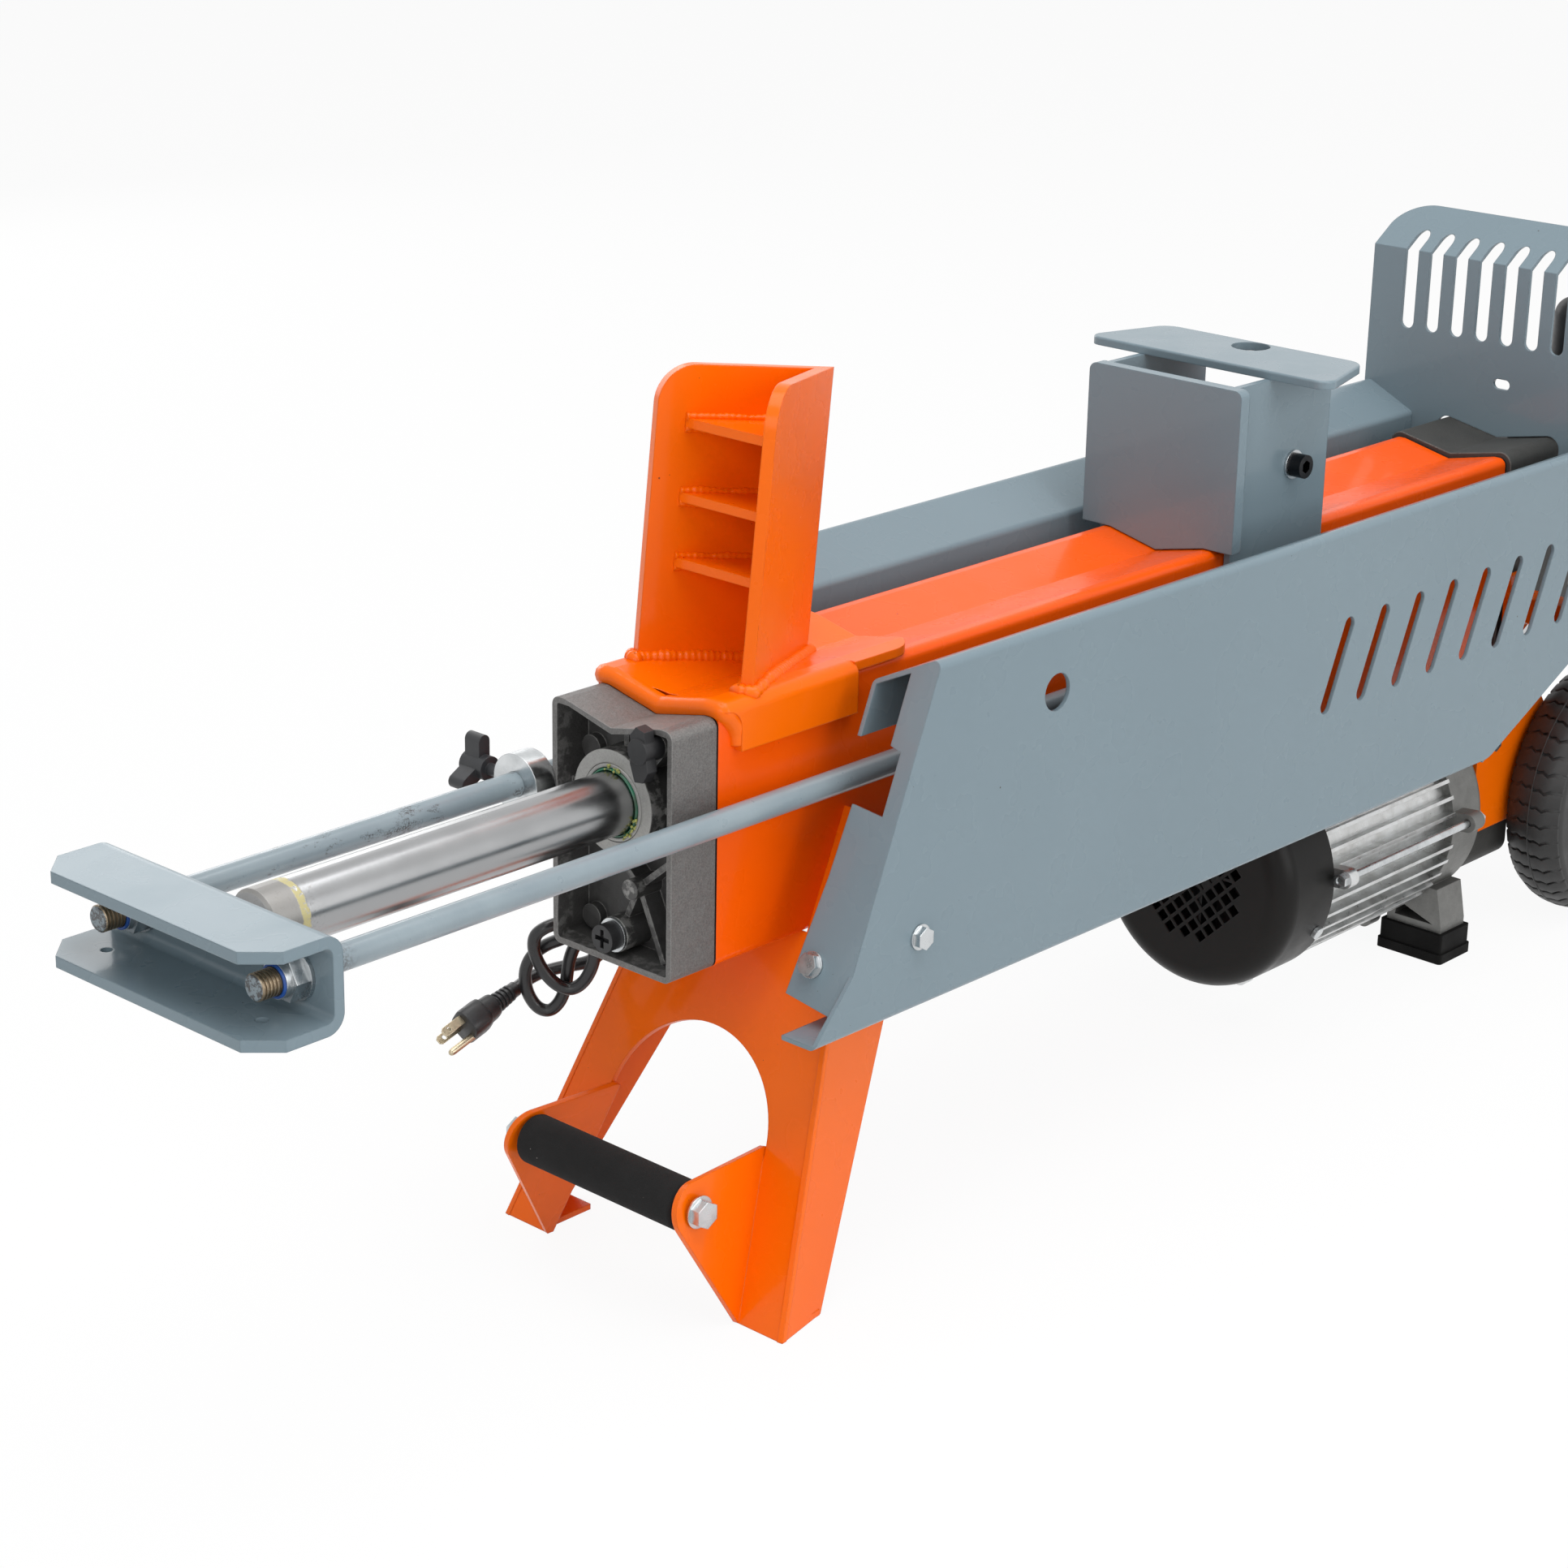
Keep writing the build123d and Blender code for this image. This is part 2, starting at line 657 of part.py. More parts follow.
gusset_plate = 6.0
gusset_back = 92.0
gusset_low, gusset_drop = 47.0, 39.0    # lowest above the saddle, highest below the wedge's top
gusset_share = 0.47                     # the middle one's place between the other two
gusset_high = wedge_high - gusset_drop
gusset_middle = gusset_low + gusset_share * (gusset_high - gusset_low)
with BuildPart() as gussets:
    for height in (gusset_low, gusset_middle, gusset_high):
        with BuildSketch(wedge_plane.offset(height)):
            with BuildLine():
                Polyline((-edge_back - 1, blade_inner(edge_back + 1)),
                         (-gusset_back, blade_inner(gusset_back)),
                         (-gusset_back, -blade_inner(gusset_back)),
                         (-edge_back - 1, -blade_inner(edge_back + 1)), close=True)
            make_face()
        extrude(amount=gusset_plate)
save(gussets.part, "wedge_gussets")

# ---------------------------------------------------------------- front leg
leg_turn = math.radians(leg_lean)
leg_up = Vector(math.sin(leg_turn), 0, math.cos(leg_turn))
leg_back = Vector(math.cos(leg_turn), 0, -math.sin(leg_turn))
leg_plane = Plane(origin=(leg_foot_x, 0, 0), x_dir=right, z_dir=leg_back)
climb = math.cos(leg_turn)
beam_along = beam_bottom / climb
arm_along = 303.0 / climb
flange_deep, flange_widens, flange_below, flange_tilt = 39.5, 0.14, 30.0, math.radians(8)
ear_r, ear_rise, ear_taper, ear_hole, ear_seat = 18.5, 10.0, 0.2, 11.2, 2.3
slant = math.radians(panel_slant)
panel_shift = 28.0        # the right panel's front end lies this much further back
m8, m8_across, m8_head, m8_flange = 8.0, 13.0, 6.0, 17.0
flange_bolt_y, flange_bolt_z = 95.2, 229.4
side_bolt_x, side_bolt_z = 86.9, 239.8
bracket_low, bracket_high, bracket_plate = 214.0, 262.0, 3.0
bracket_inner, bracket_rear, bracket_weld = 84.0, 95.0, 74.0
slant_foot_x = panel_front_top - (panel_top - panel_kink_z) * math.tan(slant)


def slant_x(z, start=0.0):
    """Where the panels' slanted front plane lies at height z."""
    return slant_foot_x + start + (z - panel_kink_z) * math.tan(slant)


def slant_plane(start=0.0):
    """Plane of the panels' front flange, its +Y up the flange and its +Z to the rear."""
    return Plane(origin=(slant_foot_x + start, 0, panel_kink_z), x_dir=right,
                 z_dir=(math.cos(slant), 0, -math.sin(slant)))


def slope_z(x):
    """Height of the panels' rising bottom edge at x."""
    return panel_bottom + (x - slope_x) * slope


tab_hole_r, tab_inner, tab_outer, tab_rear = 6.0, 90.0, 117.5, 14.0


def leg_edge(along):
    """Half width of the leg's front plate, that far up the plate."""
    return leg_half - leg_taper * climb * along


with BuildPart() as leg:
    with BuildSketch(leg_plane):
        with BuildLine():
            arm_in = beam_half
            Polyline((leg_inner, 0), (leg_edge(0), 0), (leg_edge(arm_along), arm_along),
                     (arm_in, arm_along), (arm_in, beam_along), (-arm_in, beam_along),
                     (-arm_in, arm_along), (-leg_edge(arm_along), arm_along), (-leg_edge(0), 0),
                     (-leg_inner, 0), (-arch_r, arch_up))
            ThreePointArc((-arch_r, arch_up), (0, arch_up + arch_r), (arch_r, arch_up))
            Line((arch_r, arch_up), (leg_inner, 0))
        make_face()
    extrude(amount=leg_plate)
    for side in (-1, 1):
        foot = leg_plane.from_local_coords(Vector(side * leg_edge(0), 0, 0))
        top = leg_plane.from_local_coords(Vector(side * leg_edge(beam_along), beam_along, 0))
        fold = (top - foot).normalized()
        inward = Vector(0, -side, 0) - fold * Vector(0, -side, 0).dot(fold)
        back = leg_back * math.cos(flange_tilt) + inward.normalized() * math.sin(flange_tilt)
        reach = (top - foot).length
        with BuildSketch(Plane(origin=foot, x_dir=fold, z_dir=fold.cross(back))):
            with BuildLine():
                Polyline((-flange_below, 0), (reach, 0), (reach, flange_deep + flange_widens * reach),
                         (-flange_below, flange_deep - flange_widens * flange_below), close=True)
            make_face()
        extrude(amount=-side * leg_plate)
        with BuildSketch(Plane.XY):
            with BuildLine():
                tab_front = leg_foot_x + 2
                Polyline((tab_front, side * tab_inner), (tab_rear, side * tab_inner),
                         (tab_rear, side * tab_outer), (tab_front, side * (leg_half - leg_plate)),
                         close=True)
            make_face()
            with Locations((0, side * foot_hole_y)):
                Circle(tab_hole_r, mode=Mode.SUBTRACT)
        extrude(amount=leg_plate)

    # ears that carry the handle, folded forward along the opening's edges
    ear_slope = math.atan(ear_taper * climb)
    for side in (-1, 1):
        fold = leg_up * math.cos(ear_slope) + Vector(0, -side, 0) * math.sin(ear_slope)
        foot = leg_plane.from_local_coords(Vector(side * leg_inner, 0, 0))
        ear_plane = Plane(origin=foot, x_dir=fold, z_dir=fold.cross(leg_back * -1))
        tip = Vector(handle_x, 0, handle_z) - Vector(leg_foot_x, 0, 0)
        tip_at = (tip.dot(leg_up) / math.cos(ear_slope), -tip.dot(leg_back))
        with BuildSketch(ear_plane):
            with Locations(tip_at):
                Circle(ear_r)
            ear_long = (arch_up + ear_rise) / math.cos(ear_slope)
            with Locations((ear_long / 2, -leg_plate / 2)):
                Rectangle(ear_long, leg_plate)
            make_hull()
            with Locations(tip_at):
                Circle(ear_hole / 2, mode=Mode.SUBTRACT)
        extrude(amount=side * leg_plate)

    # brackets behind the side panels, welded to the side flanges
    for side in (-1, 1):
        start = panel_shift if side > 0 else 0.0
        with BuildSketch(Plane.XY.offset(bracket_low)):
            with BuildLine():
                front_x = slant_x(bracket_low, start) + panel_sheet / math.cos(slant)
                wall_y = side * (panel_outer - panel_sheet)
                FilletPolyline((front_x, side * bracket_inner), (front_x, wall_y),
                               (bracket_rear, wall_y), (bracket_rear, side * bracket_weld), radius=5)
                offset(amount=bracket_plate, side=Side.RIGHT if side > 0 else Side.LEFT)
            make_face()
        extrude(amount=(bracket_high - bracket_low) / math.cos(slant),
                dir=(math.sin(slant), 0, math.cos(slant)))
        with BuildSketch(slant_plane(start)):
            with Locations((side * flange_bolt_y, (flange_bolt_z - panel_kink_z) / math.cos(slant))):
                Circle(m8 / 2 + bolt_gap)
        extrude(amount=12, mode=Mode.SUBTRACT)
        with BuildSketch(Plane.XZ.offset(-side * panel_outer)):
            with Locations((side_bolt_x, side_bolt_z)):
                Circle(m8 / 2 + bolt_gap)
        extrude(amount=side * 12, mode=Mode.SUBTRACT)

    split(bisect_by=Plane.XY, keep=Keep.TOP)
save(leg.part, "front_leg")

bar_d, bar_half, grip_half = 22.0, 69.5, 69.0
head_seat = leg_inner - ear_taper * tip.dot(leg_up) * climb + ear_seat
with BuildPart() as handle_bar:
    with BuildSketch(Plane.XZ.offset(-bar_half)):
        with Locations((handle_x, handle_z)):
            Circle(bar_d / 2)
            Circle(m10 / 2 + run_gap, mode=Mode.SUBTRACT)
    extrude(amount=2 * bar_half)
save(handle_bar.part, "handle_bar")

with BuildPart() as handle_grip:
    with BuildSketch(Plane.XZ.offset(-grip_half)):
        with Locations((handle_x, handle_z)):
            Circle(grip_d / 2)
            Circle(bar_d / 2 + run_gap, mode=Mode.SUBTRACT)
    extrude(amount=2 * grip_half)
    fillet(handle_grip.edges().filter_by(GeomType.CIRCLE).group_by(SortBy.RADIUS)[-1], 2.5)
save(handle_grip.part, "handle_grip")

# ---------------------------------------------------------------- side panels
cord_lip = 28.0
front_flange_inner, notch_low, notch_high, notch_y = 107.0, 322.0, 362.0, 116.0
slope_x, slope = 745.0, 0.477
slots, slot_pitch, slot_wide = 9, 44.7, 12.0
slot_x, slot_z, slot_x_top, slot_z_top = 519.5, 283.3, 547.3, 349.0
port_x, port_z, port_r = 214.6, 370.0, 12.5
rear_flange_inner, rear_flange_low, rear_flange_high = 106.0, 318.0, 400.0
guard_bolt_y, guard_bolts_z = 115.0, (335.0, 385.0)
flange_crest, flange_foot, shoulder_y = 406.0, 204.0, 90.8
flange_edge = ((88.5, 280.0), (84.0, 238.0), (81.0, 209.0))
brace_x, brace_z = 878.0, 276.0


def side_panel(side):
    """Folded sheet along the machine: side wall, cradle with its lip, bottom lip and end flanges."""
    start = panel_shift if side > 0 else 0.0
    inner_wall = panel_outer - panel_sheet
    edge = Side.LEFT if side > 0 else Side.RIGHT
    with BuildPart() as panel:
        with BuildSketch(Plane.YZ.offset(panel_toe_x + start)):
            with BuildLine():
                FilletPolyline((side * (panel_outer - cord_lip), panel_bottom),
                               (side * panel_outer, panel_bottom), (side * panel_outer, panel_top),
                               (side * cradle_inner, cradle_z),
                               (side * cradle_inner, cradle_z - cradle_lip), radius=5)
                offset(amount=panel_sheet, side=edge)
            make_face()
        extrude(amount=panel_rear - panel_toe_x - start)
        # the front end follows the slanted flange above the kink and the toe below it
        with BuildSketch(Plane.XZ.offset(-side * (panel_outer + 1))):
            with BuildLine():
                toe = panel_toe_x + start
                Polyline((toe - 1, panel_bottom + panel_sheet), (toe, panel_bottom + panel_sheet),
                         (slant_x(panel_kink_z, start), panel_kink_z),
                         (slant_x(panel_top + 1, start), panel_top + 1), (toe - 1, panel_top + 1),
                         close=True)
            make_face()
        extrude(amount=side * (panel_outer - cradle_inner + panel_sheet + 2), mode=Mode.SUBTRACT)
        # the rear part of the bottom rises
        with BuildSketch(Plane.XZ.offset(-side * (panel_outer + 1))):
            with BuildLine():
                Polyline((slope_x, panel_bottom - 1), (panel_rear, panel_bottom - 1),
                         (panel_rear, slope_z(panel_rear)), (slope_x, panel_bottom), close=True)
            make_face()
        extrude(amount=side * (cord_lip + 2), mode=Mode.SUBTRACT)
        with BuildSketch(Plane.XZ.offset(-side * (panel_outer - panel_sheet / 2))):
            with BuildLine():
                Polyline((slope_x, panel_bottom), (panel_rear, slope_z(panel_rear)),
                         (panel_rear, slope_z(panel_rear) + panel_sheet),
                         (slope_x, panel_bottom + panel_sheet), close=True)
            make_face()
        extrude(amount=side * (cord_lip - panel_sheet / 2))
        # slanted flange across the front
        with BuildSketch(slant_plane(start)):
            outline = [(inner_wall, panel_top - 4), (front_flange_inner, flange_crest),
                       (front_flange_inner, notch_high), (notch_y, notch_high - 2),
                       (notch_y, notch_low), (shoulder_y, notch_low + 2), *flange_edge,
                       (inner_wall, flange_foot)]
            with BuildLine():
                Polyline(*[(side * y, (z - panel_kink_z) / math.cos(slant)) for y, z in outline],
                         close=True)
            make_face()
            with Locations((side * flange_bolt_y, (flange_bolt_z - panel_kink_z) / math.cos(slant))):
                Circle(m8 / 2 + bolt_gap, mode=Mode.SUBTRACT)
        extrude(amount=panel_sheet)
        # upright flange at the rear for the guard
        with BuildSketch(Plane.YZ.offset(panel_rear)):
            with Locations((side * (rear_flange_inner + inner_wall) / 2,
                            (rear_flange_low + rear_flange_high) / 2)):
                Rectangle(inner_wall - rear_flange_inner, rear_flange_high - rear_flange_low)
            with Locations(*[(side * guard_bolt_y, z) for z in guard_bolts_z]):
                Circle(m8 / 2 + bolt_gap, mode=Mode.SUBTRACT)
        extrude(amount=-panel_sheet)
        # slots, the round port and the bolt holes in the side wall
        turn = math.degrees(math.atan2(slot_z_top - slot_z, slot_x_top - slot_x))
        reach = math.hypot(slot_z_top - slot_z, slot_x_top - slot_x)
        with BuildSketch(Plane.XZ.offset(-side * panel_outer)):
            for count in range(slots):
                middle = ((slot_x + slot_x_top) / 2 + count * slot_pitch, (slot_z + slot_z_top) / 2)
                with Locations(Location((*middle, 0), turn)):
                    SlotCenterToCenter(reach - slot_wide, slot_wide)
            with Locations((port_x, port_z)):
                Circle(port_r)
            with Locations((side_bolt_x, side_bolt_z), (brace_x, brace_z)):
                Circle(m8 / 2 + bolt_gap)
        extrude(amount=side * panel_sheet, mode=Mode.SUBTRACT)
    return panel.part


save(side_panel(-1), "side_panel_left")
save(side_panel(1), "side_panel_right")

# ---------------------------------------------------------------- guard
guard_low = 318.0
notch_round = 10.0        # the notch follows the rear casting's top
notch_half, notch_vee, notch_top = beam_half + 5.1, beam_vee_half + 4.4, beam_top + 5.1
guard_back, guard_rise = 45.0, 29.0
guard_corner = 30.0
guard_slots, guard_slot_pitch, guard_slot_wide = 9, 23.0, 12.0
guard_slot_low, guard_slot_top = 462.0, 539.0
eye_z, eye_long, eye_wide = 431.0, 15.0, 8.0
tilt = math.hypot(guard_back, guard_rise)
with BuildPart() as guard:
    with BuildSketch(Plane.YZ.offset(panel_rear)):
        with Locations((0, guard_low)):
            Rectangle(2 * panel_outer, guard_bend_z - guard_low, align=(Align.CENTER, Align.MIN))
        with Locations((0, eye_z)):
            SlotOverall(eye_long, eye_wide, mode=Mode.SUBTRACT)
        for side in (-1, 1):
            with Locations(*[(side * guard_bolt_y, z) for z in guard_bolts_z]):
                Circle(m8 / 2 + bolt_gap, mode=Mode.SUBTRACT)
    extrude(amount=guard_sheet)
    with BuildSketch(Plane.YZ.offset(panel_rear)):
        with BuildLine():
            Polyline((-notch_half, guard_low), (notch_half, guard_low), (notch_half, notch_top),
                     (notch_vee, notch_top), (0, notch_top - beam_vee), (-notch_vee, notch_top),
                     (-notch_half, notch_top), close=True)
        make_face()
        fillet([corner for corner in vertices() if abs(corner.X) > notch_vee + 1
                and corner.Y > beam_top], notch_round)
    extrude(amount=guard_sheet, mode=Mode.SUBTRACT)
    with BuildSketch(Plane(origin=(panel_rear, 0, guard_bend_z), x_dir=right,
                           z_dir=(guard_rise, 0, -guard_back))):
        Rectangle(2 * panel_outer, tilt, align=(Align.CENTER, Align.MIN))
        fillet(vertices().group_by(Axis.Y)[-1], guard_corner)
    extrude(amount=guard_sheet)
    with BuildSketch(Plane.YZ.offset(panel_rear - 1)):
        with Locations((0, (guard_slot_low + guard_slot_top) / 2)):
            with GridLocations(guard_slot_pitch, 1, guard_slots, 1):
                SlotOverall(guard_slot_top - guard_slot_low, guard_slot_wide, rotation=90)
    extrude(amount=guard_back, mode=Mode.SUBTRACT)
save(guard.part, "guard")

# ---------------------------------------------------------------- rear casting
casting_rim = 4.0
block_y, block_low, block_high = 60.0, 55.0, 225.0
gear_r, gear_wide, gear_bore = 17.0, 20.0, 14.0
gear_step = 2 * gear_r - 4.0
driven_z = motor_z + gear_step
chest_y, chest_half, chest_front, chest_rear, chest_top = -24.0, 18.0, 943.0, 985.0, 436.0
spool_d, spool_z, spool_front, spool_bore_end = 12.0, 408.0, 962.0, 948.0
lever_x, lever_z = 1003.0, 428.0
cheek_gap, cheek, cheek_low, cheek_rear = 6.1, 6.0, 418.0, 1014.0
pin_d, pin_head, pin_out = 8.0, 2.5, 3.0
block_round = 14.0
bearing_long = 55.0
pad_thread = 16.0
pad_r, pad_bolts = 12.0, ((890.0, 250.0), (860.0, 165.0))
with BuildPart() as casting:
    extrude(beam_section(casting_front, -casting_rim), amount=casting_rear - casting_front)
    with BuildSketch(Plane.YZ.offset(bell_rear)):
        with Locations((0, (block_low + block_high) / 2)):
            RectangleRounded(2 * block_y, block_high - block_low, block_round)
    extrude(amount=pump_rear - bell_rear)
    with BuildSketch(Plane.YZ.offset(casting_front)):
        with Locations((0, block_high)):
            Rectangle(2 * beam_half, 30)
    extrude(amount=pump_rear - casting_front)
    with BuildSketch(Plane.YZ.offset(chest_front)):
        with Locations((chest_y, (beam_top + chest_top) / 2 - 4)):
            Rectangle(2 * chest_half, chest_top - beam_top + 8)
    extrude(amount=chest_rear - chest_front)
    with BuildSketch(Plane.XZ.offset(-chest_y - cheek_gap - cheek)):
        with Locations((chest_rear - 1, cheek_low)):
            Rectangle(cheek_rear - chest_rear + 1, chest_top - cheek_low, align=(Align.MIN, Align.MIN))
    extrude(amount=2 * (cheek_gap + cheek))
    with BuildSketch(Plane.XZ.offset(-chest_y - cheek_gap)):
        with Locations((chest_rear, cheek_low)):
            Rectangle(cheek_rear - chest_rear, chest_top - cheek_low, align=(Align.MIN, Align.MIN))
    extrude(amount=2 * cheek_gap, mode=Mode.SUBTRACT)
    with BuildSketch(Plane.XZ.offset(-chest_y - chest_half)):
        with Locations((lever_x, lever_z)):
            Circle(pin_d / 2 + run_gap)
    extrude(amount=2 * chest_half, mode=Mode.SUBTRACT)
    with BuildSketch(Plane.YZ.offset(chest_rear)):
        with Locations((chest_y, spool_z)):
            Circle(spool_d / 2 + run_gap)
    extrude(amount=spool_bore_end - chest_rear, mode=Mode.SUBTRACT)
    # pads for the wheel bracket's bolts
    with BuildSketch(Plane.XZ.offset(-block_y)):
        with Locations(pad_bolts[0]):
            Circle(pad_r)
    extrude(amount=2 * block_y)
    with BuildSketch(Plane.XZ.offset(-block_y)):
        with Locations(*pad_bolts):
            Circle(m8 / 2 + run_gap)
    extrude(amount=pad_thread, mode=Mode.SUBTRACT)
    with BuildSketch(Plane.XZ.offset(block_y)):
        with Locations(*pad_bolts):
            Circle(m8 / 2 + run_gap)
    extrude(amount=-pad_thread, mode=Mode.SUBTRACT)
    # gear chamber and shaft bores of the pump
    with BuildSketch(Plane.YZ.offset(bell_rear)):
        with Locations((0, motor_z), (0, driven_z)):
            Circle(gear_r + run_gap)
    extrude(amount=gear_wide + 2 * run_gap, mode=Mode.SUBTRACT)
    with BuildSketch(Plane.YZ.offset(bell_rear)):
        with Locations((0, motor_z), (0, driven_z)):
            Circle(gear_bore / 2 + run_gap)
    extrude(amount=bearing_long, mode=Mode.SUBTRACT)
    with BuildSketch(Plane.YZ.offset(casting_rear)):
        with Locations(*corners):
            Circle(tank_bolt_d / 2 + bolt_gap)
    extrude(amount=casting_front - casting_rear, mode=Mode.SUBTRACT)
save(casting.part, "rear_casting")

# ---------------------------------------------------------------- valve spool and control lever
fork_front, fork_rear, fork_half_y, fork_half_z = 994.0, 1012.0, 7.5, 4.0
tip_r, tip_half, arm_wide = 4.0, 3.0, 4.0
with BuildPart() as spool:
    with BuildSketch(Plane.YZ.offset(spool_front)):
        with Locations((chest_y, spool_z)):
            Circle(spool_d / 2)
    extrude(amount=fork_front - spool_front)
    with BuildSketch(Plane.YZ.offset(fork_front)):
        with Locations((chest_y, spool_z)):
            Rectangle(2 * fork_half_y, 2 * fork_half_z)
    extrude(amount=fork_rear - fork_front)
    with BuildSketch(Plane.XY.offset(spool_z - fork_half_z)):
        with Locations((lever_x, chest_y)):
            Rectangle(2 * (tip_r + run_gap), 2 * (tip_half + seat_gap))
    extrude(amount=2 * fork_half_z, mode=Mode.SUBTRACT)
save(spool.part, "valve_spool")

eye_half, eye_r = cheek_gap - seat_gap, 8.0
stem_d, stem_grip = 8.0, 20.0
knob_low, knob_high, knob_r = 446.0, 496.0, 17.5
with BuildPart() as lever:
    with BuildSketch(Plane.XZ.offset(-chest_y - eye_half)):
        with Locations((lever_x, lever_z)):
            Circle(eye_r)
    extrude(amount=2 * eye_half)
    with BuildSketch(Plane.XZ.offset(-chest_y - tip_half)):
        with Locations((lever_x, (lever_z + spool_z) / 2)):
            Rectangle(arm_wide, lever_z - spool_z)
        with Locations((lever_x, spool_z)):
            Circle(tip_r)
    extrude(amount=2 * tip_half)
    with BuildSketch(Plane.XY.offset(lever_z)):
        with Locations((lever_x, chest_y)):
            Circle(stem_d / 2)
    extrude(amount=knob_low + stem_grip - lever_z)
    with BuildSketch(Plane.XZ.offset(-chest_y - eye_half)):
        with Locations((lever_x, lever_z)):
            Circle(pin_d / 2 + run_gap)
    extrude(amount=2 * eye_half, mode=Mode.SUBTRACT)
save(lever.part, "control_lever")

with BuildPart() as lever_knob:
    with BuildSketch(Plane.XY.offset(knob_low)):
        with Locations((lever_x, chest_y)):
            Circle(knob_r)
    extrude(amount=knob_high - knob_low)
    fillet(lever_knob.edges().filter_by(GeomType.CIRCLE).group_by(Axis.Z)[-1], 14)
    fillet(lever_knob.edges().filter_by(GeomType.CIRCLE).group_by(Axis.Z)[0], 6)
    with BuildSketch(Plane.XY.offset(knob_low)):
        with Locations((lever_x, chest_y)):
            Circle(stem_d / 2)
    extrude(amount=stem_grip, mode=Mode.SUBTRACT)
save(lever_knob.part, "lever_knob")

with BuildPart() as lever_pin:
    pin_start = chest_y - cheek_gap - cheek - pin_out
    with BuildSketch(Plane.XZ.offset(-pin_start)):
        with Locations((lever_x, lever_z)):
            Circle(pin_d / 2)
    extrude(amount=-2 * (cheek_gap + cheek + pin_out))
    with BuildSketch(Plane.XZ.offset(-pin_start)):
        with Locations((lever_x, lever_z)):
            Circle(pin_d / 2 + 2)
    extrude(amount=-pin_head)
save(lever_pin.part, "lever_pin")

# ---------------------------------------------------------------- switch box and button
box_front, box_rear, box_outer, box_low, box_high = 945.0, 1010.0, 104.0, 290.0, 350.0
box_inner = beam_half + casting_rim
button_r, button_y, button_z, button_in, button_out = 11.0, 84.0, 322.0, 12.0, 6.0
with BuildPart() as switch_box:
    with BuildSketch(Plane.YZ.offset(box_front)):
        with Locations(((box_inner + box_outer) / 2, (box_low + box_high) / 2)):
            RectangleRounded(box_outer - box_inner, box_high - box_low, 6)
    extrude(amount=box_rear - box_front)
    with BuildSketch(Plane.YZ.offset(box_rear)):
        with Locations((button_y, button_z)):
            Circle(button_r + 5)
    extrude(amount=2)
    with BuildSketch(Plane.YZ.offset(box_rear + 2)):
        with Locations((button_y, button_z)):
            Circle(button_r + run_gap)
    extrude(amount=-button_in - 6, mode=Mode.SUBTRACT)
save(switch_box.part, "switch_box")

with BuildPart() as start_button:
    with BuildSketch(Plane.YZ.offset(box_rear + button_out)):
        with Locations((button_y, button_z)):
            Circle(button_r)
    extrude(amount=-button_out - button_in + 2)
    fillet(start_button.edges().filter_by(GeomType.CIRCLE).group_by(Axis.X)[-1], 2)
save(start_button.part, "start_button")

gland_y, gland_z = 92.0, 300.0
relief_long, relief_r = 30.0, 8.0
with BuildPart() as gland:
    with BuildSketch(Plane.YZ.offset(box_front)):
        with Locations((gland_y, gland_z)):
            Circle(relief_r + 1.5)
    extrude(amount=-5)
    with BuildSketch(Plane.YZ.offset(box_front - 5)):
        with Locations((gland_y, gland_z)):
            Circle(relief_r)
    extrude(amount=5 - relief_long, taper=5.5)
save(gland.part, "cord_gland")

# ---------------------------------------------------------------- motor
core_r, fin_root, fins, fin_wide = 62.0, 77.0, 40, 3.0
stator_front = fan_cover_rear
ear_ring, ear_pad, motor_ears = 96.0, 7.5, (5.0, 85.0, 175.0, 265.0)
m6 = 6.0
shaft_r = gear_bore / 2
ear_spots = [(ear_ring * math.cos(math.radians(a)), motor_z + ear_ring * math.sin(math.radians(a)))
             for a in motor_ears]


def ear_pads(x, long):
    """Four pads with bolt holes around the motor, joined to its rim."""
    with BuildPart() as pads:
        with BuildSketch(Plane.YZ.offset(x)):
            for y, z in ear_spots:
                with Locations((y, z)):
                    Circle(ear_pad)
                angle = math.degrees(math.atan2(z - motor_z, y))
                with Locations(Location((y, z, 0), angle)):
                    Rectangle(24, 2 * ear_pad, align=(Align.MAX, Align.CENTER))
            with Locations(*ear_spots):
                Circle(m6 / 2 + bolt_gap, mode=Mode.SUBTRACT)
        extrude(amount=long)
    return pads.part


cover_wall, fan_cover_r, cover_round = 1.5, 88.0, 18.0
screw_x = 603.0
screw_turns = (23.0, 113.0, 203.0, 293.0)


def spoke_plane(turn):
    """Plane through the motor's axis at the fan cover's screws, facing outwards at that angle."""
    out = (0, math.cos(math.radians(turn)), math.sin(math.radians(turn)))
    return Plane(origin=(screw_x, 0, motor_z), z_dir=out)


with BuildPart() as stator:
    with BuildSketch(Plane.YZ.offset(stator_front)):
        with Locations((0, motor_z)):
            Circle(fin_root)
            with PolarLocations(0, fins):
                with Locations(((fin_root + motor_r) / 2, 0)):
                    Rectangle(motor_r - fin_root + 4, fin_wide)
            Circle(core_r, mode=Mode.SUBTRACT)
    extrude(amount=stator_rear - stator_front)
    with BuildSketch(Plane.YZ.offset(stator_front)):
        with Locations((0, motor_z)):
            Circle(motor_r)
            Circle(core_r, mode=Mode.SUBTRACT)
    extrude(amount=6)
    with BuildSketch(Plane.YZ.offset(screw_x - 6)):
        with Locations((0, motor_z)):
            Circle(fan_cover_r - cover_wall - seat_gap)
            Circle(shaft_r + run_gap, mode=Mode.SUBTRACT)
    extrude(amount=stator_front - screw_x + 6)
    for turn in screw_turns:
        with BuildSketch(spoke_plane(turn).offset(fan_cover_r - 14)):
            Circle(2.5 + run_gap)
        extrude(amount=14, mode=Mode.SUBTRACT)
    add(ear_pads(stator_front, 10))
save(stator.part, "motor_stator")

